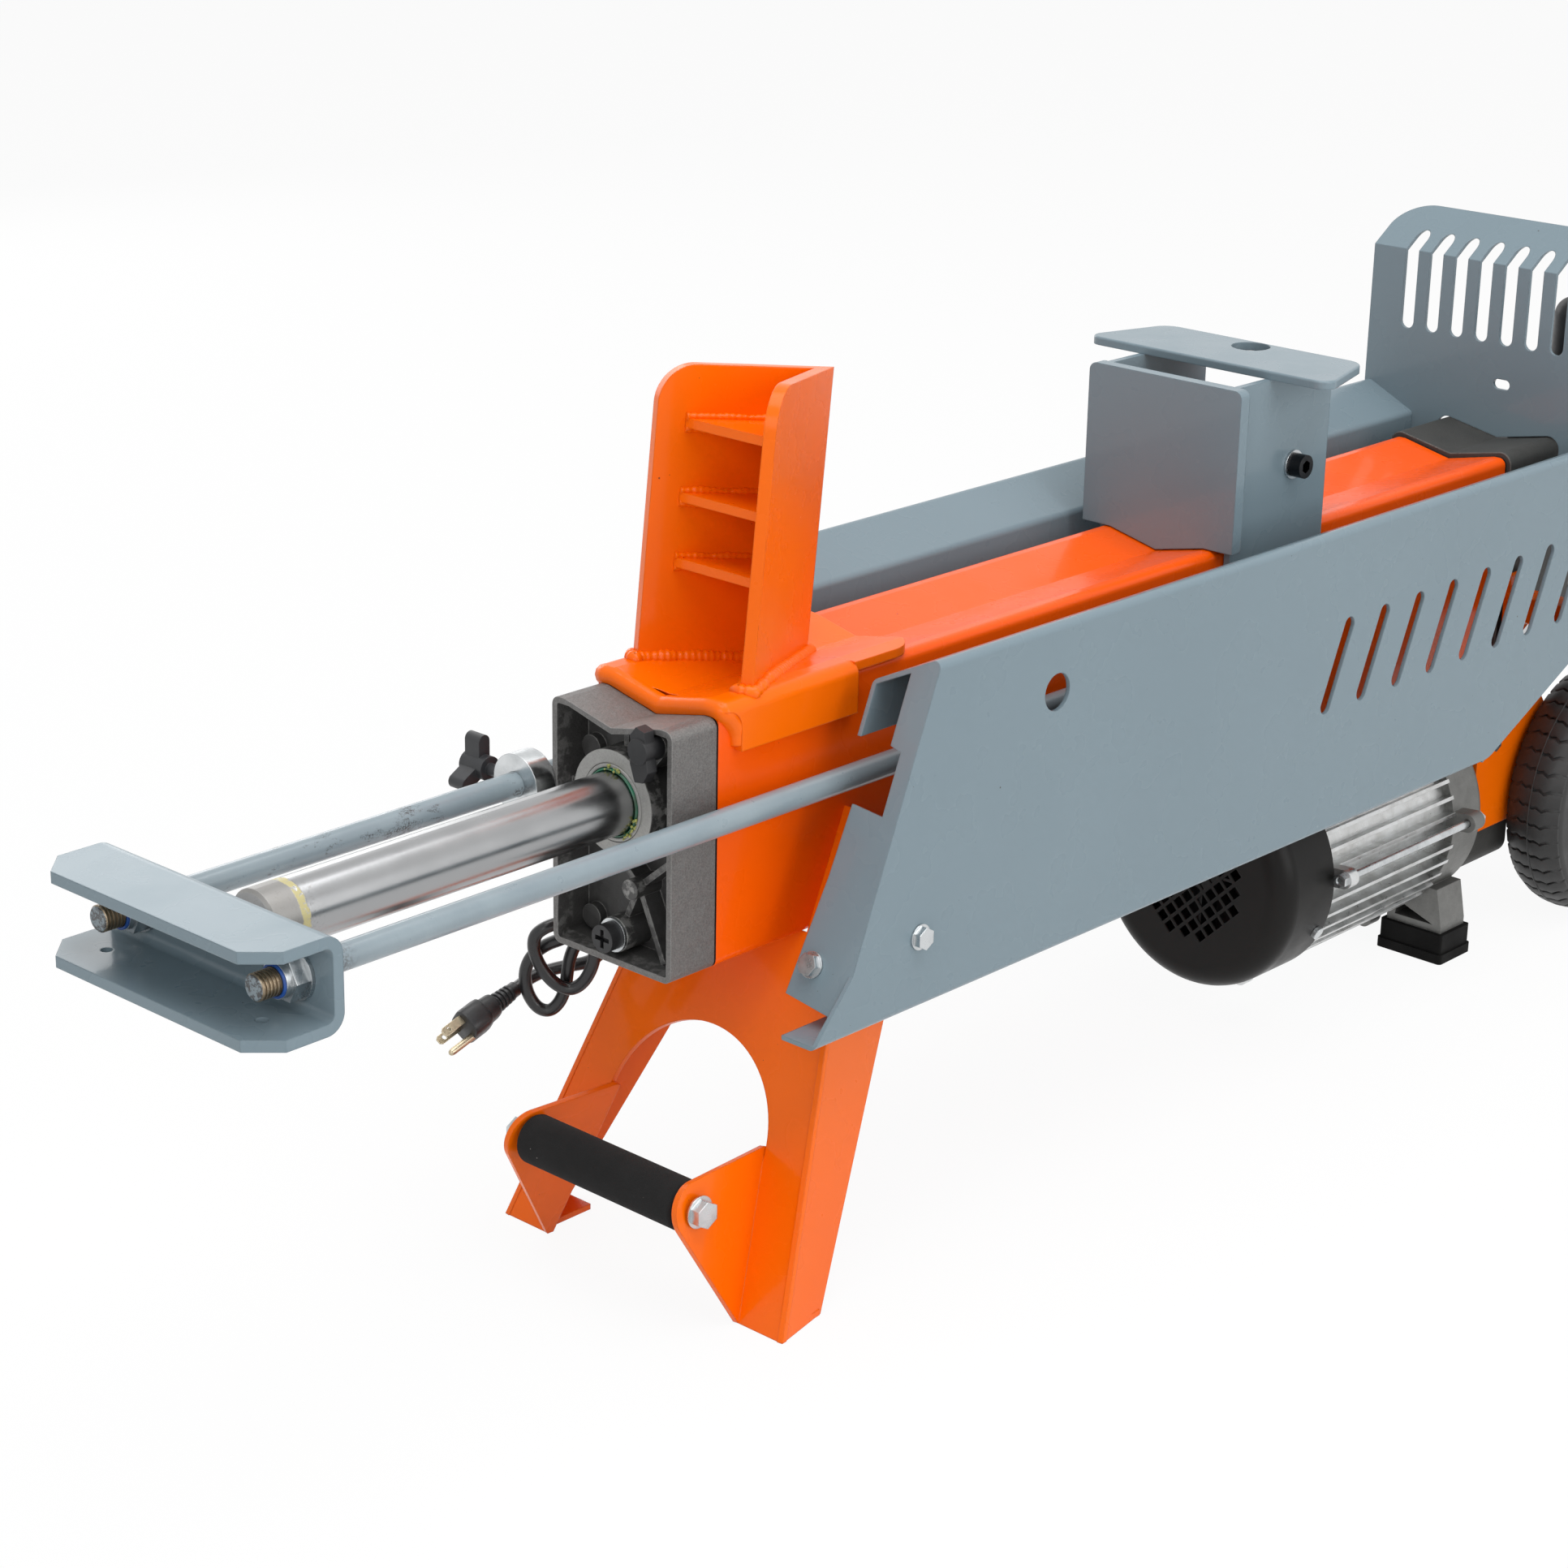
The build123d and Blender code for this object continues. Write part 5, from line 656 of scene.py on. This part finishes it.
dress(zinc, "yoke_nuts", "ram_washers")
insert_blue = new_finish("nut_insert", (0.01, 0.09, 0.42), 0.4)
feed(insert_blue, "Base Color", tint(insert_blue, grain(insert_blue, 300, 3), (0.012, 0.10, 0.45),
                                     (0.02, 0.06, 0.22)))
nut_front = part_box("yoke_nuts")[0].x
collar = [(0.0010, 0.0081), (-0.0006, 0.0081), (-0.0012, 0.0085), (-0.0013, 0.0094), (-0.0008, 0.0099),
          (0.0010, 0.0100), (0.0010, 0.0081)]
nut_inserts = joined("nut_inserts", [
    turned(f"insert_{side}", collar, insert_blue, (nut_front, side * tie_y, tie_z), sides=48)
    for side in (-1, 1)])
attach(nut_inserts, "ram")

# ---------------------------------------------------------------- limiter
# A turned and zinc-plated collar slides on the right tie rod and sets how far the pusher comes
# back; a three-lobed knob clamps it.
collar_zinc = metal("collar_zinc", (0.66, 0.68, 0.69), (0.50, 0.52, 0.53), 0.2, (8, 1, 1), 0.0009)
dress(collar_zinc, "limiter_collar")
dress(plastic("knob_black", (0.017, 0.018, 0.020), 0.42, 700, 0.00006), "limiter_knob")

# ---------------------------------------------------------------- pusher
# Folded and welded plates, painted blue-grey, ride on the beam over a nylon block. Two black
# socket screws with bright washers hold the block.
dress(blue_grey, "pusher_frame", "pusher_cap")
dress(plastic("guide_nylon", (0.035, 0.035, 0.036), 0.5), "pusher_guide_block")
dress(metal("black_screw", (0.030, 0.030, 0.032), (0.016, 0.016, 0.017), 0.34, (1, 1, 1), 0.0004),
      "pusher_screws")

# ---------------------------------------------------------------- saddle and wedge welds
# The wedge is two thick plates that meet in an edge, with three gussets between them. Everything
# is joined with hand-laid fillet welds, under the same orange enamel.
saddle_top, vee_deep, vee_half = 0.398, 0.009, 0.041
lean, half_angle = math.radians(6.2), math.radians(26.0)
edge_foot = Vector((0.120, 0, saddle_top))
wedge_back = Vector((-math.cos(lean), 0, math.sin(lean)))
wedge_up = Vector((math.sin(lean), 0, math.cos(lean)))
blade_long, blade_plate = 0.117, 0.008


def on_saddle(back, across):
    """Point on the saddle's veed top, that far behind the edge's foot."""
    sink = vee_deep * max(0.0, 1 - abs(across) / vee_half)
    return (edge_foot.x - back, across, saddle_top - sink)


def in_wedge(back, across, up):
    """Point between the blades, measured along the leaning edge."""
    return tuple(edge_foot + wedge_back * back + Vector((0, across, 0)) + wedge_up * up)


edge_back = blade_plate / math.sin(half_angle)
arm_back, arm_across = blade_long * math.cos(half_angle), blade_long * math.sin(half_angle)
end_back = arm_back + blade_plate * math.sin(half_angle)
end_across = arm_across - blade_plate * math.cos(half_angle)
gusset_heights, gusset_start, gusset_end = (0.047, 0.0879, 0.134), edge_back + 0.004, 0.092
foot_welds, gusset_welds = [], []
for side in (-1, 1):
    outer = [on_saddle(arm_back * k / 24 - 0.001, side * (arm_across * k / 24 + 0.001)) for k in range(25)]
    heel = [on_saddle(arm_back + 0.002, side * (arm_across + 0.001)),
            on_saddle(end_back + 0.003, side * (end_across - 0.001))]
    inner = [on_saddle(end_back + (edge_back - end_back) * k / 18, side * end_across * (1 - k / 18))
             for k in range(18)]
    foot_welds += [outer + heel + inner]
    backs = [gusset_start + (gusset_end - gusset_start) * k / 10 for k in range(11)]
    seam = [(back, side * ((back - edge_back) * math.tan(half_angle) - 0.0006)) for back in backs]
    for up in gusset_heights:
        gusset_welds.append([in_wedge(back, across, up + 0.0068) for back, across in seam])
        gusset_welds.append([in_wedge(back, across, up - 0.0008) for back, across in seam[3:]])


def reckon(tree, operation, first, second=0.0):
    """That operation on one or two values, in a Geometry Nodes tree."""
    return step(tree, "ShaderNodeMath", operation=operation, i0=first, i1=second).outputs[0]


weld_tree = node_tree("weld_bead", Radius=0.003, Ripple=0.0007, Pitch=0.0042, Lump=0.0012)
size = weld_tree.nodes["Group Input"].outputs
line = step(weld_tree, "GeometryNodeResampleCurve", mode="LENGTH", Curve=size[0], Length=0.0014)
travel = step(weld_tree, "GeometryNodeSplineParameter").outputs["Length"]
beat = reckon(weld_tree, "DIVIDE", travel, size["Pitch"])
beat = reckon(weld_tree, "SINE", reckon(weld_tree, "MULTIPLY", beat, 2 * math.pi))
beat = reckon(weld_tree, "MULTIPLY", beat, size["Ripple"])
wobble = step(weld_tree, "ShaderNodeTexNoise", Scale=70.0, Detail=2.0).outputs[0]
wobble = reckon(weld_tree, "MULTIPLY", reckon(weld_tree, "SUBTRACT", wobble, 0.45), size["Lump"])
wobble = reckon(weld_tree, "MULTIPLY", wobble, 4.0)
wide = reckon(weld_tree, "ADD", reckon(weld_tree, "ADD", beat, wobble), size["Radius"])
round_end = step(weld_tree, "GeometryNodeCurvePrimitiveCircle", Radius=1.0, Resolution=12)
bead = step(weld_tree, "GeometryNodeCurveToMesh", Curve=line.outputs[0],
            Profile_Curve=round_end.outputs[0], Scale=wide, Fill_Caps=True)


def weld(name, lines, body, slot, finish, **sizes):
    """Painted weld beads along these lines, riding on a body."""
    made = grown(name, path(name + "_path", lines), weld_tree, bead.outputs[0], finish, **sizes)
    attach(made, body)


weld("wedge_foot_welds", foot_welds, "machine", "orange_paint", orange, Radius=0.0042)

# The saddle's front is rolled over in one thick round lip, which turns down beside the cover.
lip_x, lip_in, lip_side = -0.0105, 0.0068, 0.0505
across = [-lip_side + 2 * lip_side * k / 60 for k in range(61)]
over = [(lip_x, y, on_saddle(0.0, y)[2] - lip_in) for y in across]
down = [(-0.0085, 0.3895), (-0.0055, 0.3862), (-0.0015, 0.3815), (0.0012, 0.3755), (0.0020, 0.3690)]
lip_line = [(x, -lip_side, z) for x, z in reversed(down)] + over + [(x, lip_side, z) for x, z in down]
weld("saddle_lip", [lip_line], "machine", "orange_paint", orange, Radius=0.0069, Ripple=0.0,
     Lump=0.0002)
weld("gusset_welds", gusset_welds, "machine", "orange_paint", orange, Radius=0.0021, Ripple=0.0004)

# ---------------------------------------------------------------- side panels and their bolts
# Folded 3 mm sheet, sprayed blue-grey after punching. The upper edge is bent inwards as the log's
# cradle, and hexagon bolts with pressed washers hold each panel.
dress(blue_grey, "side_panel_left", "side_panel_right", "guard")
dress(zinc, "flange_bolts")

# ---------------------------------------------------------------- front leg and carrying handle
# One laser-cut and folded plate with a round arch and two ears. A zinc-plated bar inside a foam
# grip is bolted between the ears.
foam = new_finish("black_foam", (0.011, 0.011, 0.012), 0.95, Specular_IOR_Level=0.25)
cells = grain(foam, 1400, 2)
dust = specks(foam, 260, 0.13, 0.05)
tone = tint(foam, grain(foam, 60, 4), (0.010, 0.010, 0.010), (0.019, 0.018, 0.018))
feed(foam, "Base Color", tint(foam, dust, tone, (0.25, 0.24, 0.22)))
soft = dent(foam, grain(foam, 40, 3), 0.0008, rounded(foam, 0.002))
feed(foam, "Normal", dent(foam, cells, 0.0004, soft))
dress(foam, "handle_grip")
dress(zinc, "handle_bar")

# ---------------------------------------------------------------- rear casting, pump and control lever
# The rear casting closes the tank and holds the pump and the control valve. It is cast iron-grey
# aluminium, rough all over, and the lever above it has a round black knob.
dark_cast = new_finish("dark_casting", (0.05, 0.05, 0.047), 0.6, 0.4)
edges = rounded(dark_cast, 0.002)
sand = grain(dark_cast, 700, 4, 0.7)
# Painted highlight: the casting's edges are lightened towards a pale grey.
bright = maths(dark_cast, "MULTIPLY", edge_share(dark_cast, edges, 0.03, 0.25),
               spread(dark_cast, sand, 0.3, 0.6))
tone = tint(dark_cast, grain(dark_cast, 35, 5, 0.65), (0.032, 0.032, 0.030), (0.070, 0.069, 0.065))
feed(dark_cast, "Base Color", tint(dark_cast, bright, tone, (0.30, 0.29, 0.27)))
uneven = dent(dark_cast, grain(dark_cast, 45, 3), 0.0012, edges)
feed(dark_cast, "Normal", dent(dark_cast, sand, 0.0003, uneven))
dress(dark_cast, "rear_casting")
dress(bare, "pump_drive_gear", "pump_driven_gear", "valve_spool", "lever_pin", "control_lever", "rotor_shaft")
dress(black_nylon, "lever_knob")

# ---------------------------------------------------------------- motor
# A finned aluminium housing with a cast end bell on two rubber-shod feet. Zinc-plated bolts run
# through it, and a deep-drawn black cover with a diamond grille shields the fan.
fins = metal("motor_aluminium", (0.66, 0.67, 0.67), (0.50, 0.50, 0.49), 0.34, (0.06, 1, 1), 0.0005)
dress(fins, "motor_stator")
bell = new_finish("bell_aluminium", (0.24, 0.24, 0.23), 0.5, 0.75)
edges = rounded(bell, 0.001)
feed(bell, "Base Color", tint(bell, grain(bell, 90, 5, 0.65), (0.12, 0.12, 0.115), (0.25, 0.25, 0.24)))
feed(bell, "Normal", dent(bell, grain(bell, 500, 4), 0.00025, edges))
dress(bell, "motor_end_bell")
dress(zinc, "motor_through_bolts", "fan_cover_screws")
satin = new_finish("fan_cover_paint", (0.006, 0.006, 0.006), 0.36, Specular_IOR_Level=0.14)
mottle(satin, 50, 0.30, 0.42, 4)
feed(satin, "Base Color", tint(satin, grain(satin, 20, 3), (0.008, 0.008, 0.008), (0.016, 0.015, 0.014)))
feed(satin, "Normal", dent(satin, grain(satin, 900, 2), 0.00003, rounded(satin, 0.0015)))
dress(satin, "fan_cover")
dress(black_nylon, "cooling_fan")
dress(rubber, "motor_boots")

# ---------------------------------------------------------------- switch box
# A ribbed black box on the right of the rear casting holds the switch; its button is green.
dress(black_nylon, "switch_box")
dress(plastic("button_green", (0.01, 0.16, 0.03), 0.38), "start_button")

# ---------------------------------------------------------------- axle and wheels
# Two solid rubber tyres on moulded hubs. The tread is cut by wavy cross grooves, and a thin
# moulding line runs around its middle.
dress(zinc, "axle_nuts")
dress(bare, "axle")
dress(plastic("hub_black", (0.016, 0.016, 0.017), 0.5), "wheel_hub_left", "wheel_hub_right")
tyre_rubber = new_finish("tyre_rubber", (0.016, 0.016, 0.017), 0.5)
edges = rounded(tyre_rubber, 0.0012)
# Painted highlight: the tyre's edges are lightened towards a grey.
wear_and_edge_highlight = maths(tyre_rubber, "MULTIPLY", edge_share(tyre_rubber, edges, 0.03, 0.3), 0.5)
tone = tint(tyre_rubber, grain(tyre_rubber, 30, 4), (0.013, 0.013, 0.013), (0.026, 0.026, 0.026))
feed(tyre_rubber, "Base Color", tint(tyre_rubber, wear_and_edge_highlight, tone, (0.06, 0.058, 0.055)))
mottle(tyre_rubber, 40, 0.40, 0.62, 4)
feed(tyre_rubber, "Normal", dent(tyre_rubber, grain(tyre_rubber, 600, 3), 0.00008, edges))
wheel_x, wheel_z, wheel_y = 0.985, 0.104, 0.092
blocks, crown_r, tread_half = 44, 0.1036, 0.0235


def crown(across):
    """Radius of the tread's outer face, across metres from the tyre's middle."""
    return crown_r - 0.0075 * (abs(across) / tread_half) ** 2.6


wave = [(-tread_half, 0.0), (-0.0150, 0.0), (-0.0105, 0.0026), (-0.0060, 0.0), (-0.0022, 0.0012), (0.0, 0.0),
        (0.0022, -0.0012), (0.0060, 0.0), (0.0105, -0.0026), (0.0150, 0.0), (tread_half, 0.0)]
pitch = 2 * math.pi / blocks


def block_point(across, shift, share, drop):
    """Point of one tread block: share runs from 0 to 1 around the tyre, drop is its depth."""
    radius = crown(across) - drop
    turn = (share - 0.5) * pitch + shift / crown_r
    return (radius * math.sin(turn), across, -radius * math.cos(turn))


shares = ((0.06, 0.0034), (0.09, 0.0003), (0.16, 0.0), (0.84, 0.0), (0.91, 0.0003), (0.94, 0.0034))
block = bmesh.new()
rows = []
for across, shift in wave:
    rows.append([block.verts.new(block_point(across, shift, share, drop)) for share, drop in shares])
for row, after in zip(rows, rows[1:]):
    for here in range(len(row) - 1):
        block.faces.new((row[here], row[here + 1], after[here + 1], after[here]))
for row in (rows[0], rows[-1]):
    block.faces.new(row)
bmesh.ops.recalc_face_normals(block, faces=block.faces)
block_mesh = bpy.data.meshes.new("tread_block")
block.to_mesh(block_mesh)
block.free()

tread_tree = node_tree("tyre_tread", Blocks=blocks, Hub_X=wheel_x, Hub_Y=0.0, Hub_Z=wheel_z)
size = tread_tree.nodes["Group Input"].outputs
hub = step(tread_tree, "ShaderNodeCombineXYZ", X=size["Hub X"], Y=size["Hub Y"], Z=size["Hub Z"])
spots = step(tread_tree, "GeometryNodeMeshLine", Count=size["Blocks"], Offset=(0, 0, 0))
spots = step(tread_tree, "GeometryNodeSetPosition", Geometry=spots.outputs[0], Position=hub.outputs[0])
index = step(tread_tree, "GeometryNodeInputIndex").outputs[0]
angle = reckon(tread_tree, "DIVIDE", reckon(tread_tree, "MULTIPLY", index, 2 * math.pi), size["Blocks"])
turn = step(tread_tree, "ShaderNodeCombineXYZ", Y=angle)
tread = step(tread_tree, "GeometryNodeInstanceOnPoints", Points=spots.outputs[0], Instance=size[0],
             Rotation=turn.outputs[0])

# Half of the tyre's section, from the moulding line down to the bead.
half = [(0.0006, 0.1038), (0.0009, 0.1012), (0.0070, 0.1010), (0.0140, 0.1002), (0.0195, 0.0985),
        (0.0222, 0.0962), (0.0238, 0.0935), (0.0244, 0.0910), (0.0246, 0.0890), (0.0243, 0.0885),
        (0.0246, 0.0830), (0.0243, 0.0770), (0.0228, 0.0700), (0.0205, 0.0650), (0.0160, 0.0622)]
mirrored = [(-across, radius) for across, radius in reversed(half)]
section = mirrored + half + mirrored[:1]
for side, name in ((-1, "left"), (1, "right")):
    start = bpy.data.objects.new("tread_start", block_mesh.copy())
    scene.collection.objects.link(start)
    lugs = grown(f"tread_{name}", start, tread_tree, tread.outputs[0], tyre_rubber, Hub_Y=side * wheel_y)
    lugs.data.set_sharp_from_angle(angle=math.radians(50))
    carcass = turned(f"carcass_{name}", section, tyre_rubber, (wheel_x, side * wheel_y, wheel_z), "Y", 132)
    for piece in (lugs, carcass):
        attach(piece, f"wheel_{name}")
    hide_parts(f"tyre_{name}")

# ---------------------------------------------------------------- floor, backdrop and lamps
# A white paper floor, lifted almost to plain white for the camera and for reflections, with the
# shadow left in. The lamps are one large soft one above and smaller ones on three sides.
paper = bpy.data.materials.new("paper_floor")
paper.use_nodes = True
paper.node_tree.nodes.clear()
rays = add(paper, "LightPath").outputs
seen = maths(paper, "MAXIMUM", rays["Is Camera Ray"], rays["Is Glossy Ray"])
seen = maths(paper, "MAXIMUM", seen, rays["Is Transmission Ray"])
cloth = add(paper, "BsdfDiffuse", Color=(0.85, 0.85, 0.85, 1)).outputs[0]
glow = add(paper, "Emission", Color=(1, 1, 1, 1)).outputs[0]
lifted = add(paper, "MixShader", i0=0.93, i1=cloth, i2=glow).outputs[0]
both = add(paper, "MixShader", i0=seen, i1=cloth, i2=lifted).outputs[0]
add(paper, "OutputMaterial", Surface=both)
sheet = bpy.data.meshes.new("floor")
reach = 30.0
sheet.from_pydata([(-reach, -reach, -0.0005), (reach, -reach, -0.0005), (reach, reach, -0.0005),
                   (-reach, reach, -0.0005)], [], [(0, 1, 2, 3)])
floor = new_piece("floor", sheet, paper)

sky = bpy.data.worlds.new("studio")
sky.use_nodes = True
scene.world = sky
backdrop = sky.node_tree.nodes["Background"]
backdrop.inputs["Color"].default_value = (1, 1, 1, 1)
rays = add(sky, "LightPath").outputs
seen = maths(sky, "MAXIMUM", rays["Is Camera Ray"], rays["Is Glossy Ray"])
seen = maths(sky, "MAXIMUM", seen, rays["Is Transmission Ray"])
sky.node_tree.links.new(spread(sky, seen, 0.0, 1.0, 0.40, 1.0), backdrop.inputs["Strength"])

for name, place, aim, size, power in (
        ("top_lamp", (0.1, -0.4, 3.2), (0.3, 0.0, 0.3), 3.0, 84),
        ("left_lamp", (0.6, -3.2, 1.4), (0.3, 0.0, 0.3), 2.2, 40),
        ("front_lamp", (-2.6, -1.2, 1.6), (0.1, 0.0, 0.3), 1.6, 20),
        ("back_lamp", (1.2, 3.2, 1.5), (0.3, 0.0, 0.3), 2.2, 26)):
    light = bpy.data.lights.new(name, "AREA")
    light.shape, light.size, light.energy = "SQUARE", size, power
    lamp = bpy.data.objects.new(name, light)
    lamp.location = place
    lamp.rotation_euler = (Vector(aim) - Vector(place)).to_track_quat("-Z", "Y").to_euler()
    scene.collection.objects.link(lamp)

scene.view_settings.view_transform = "Standard"
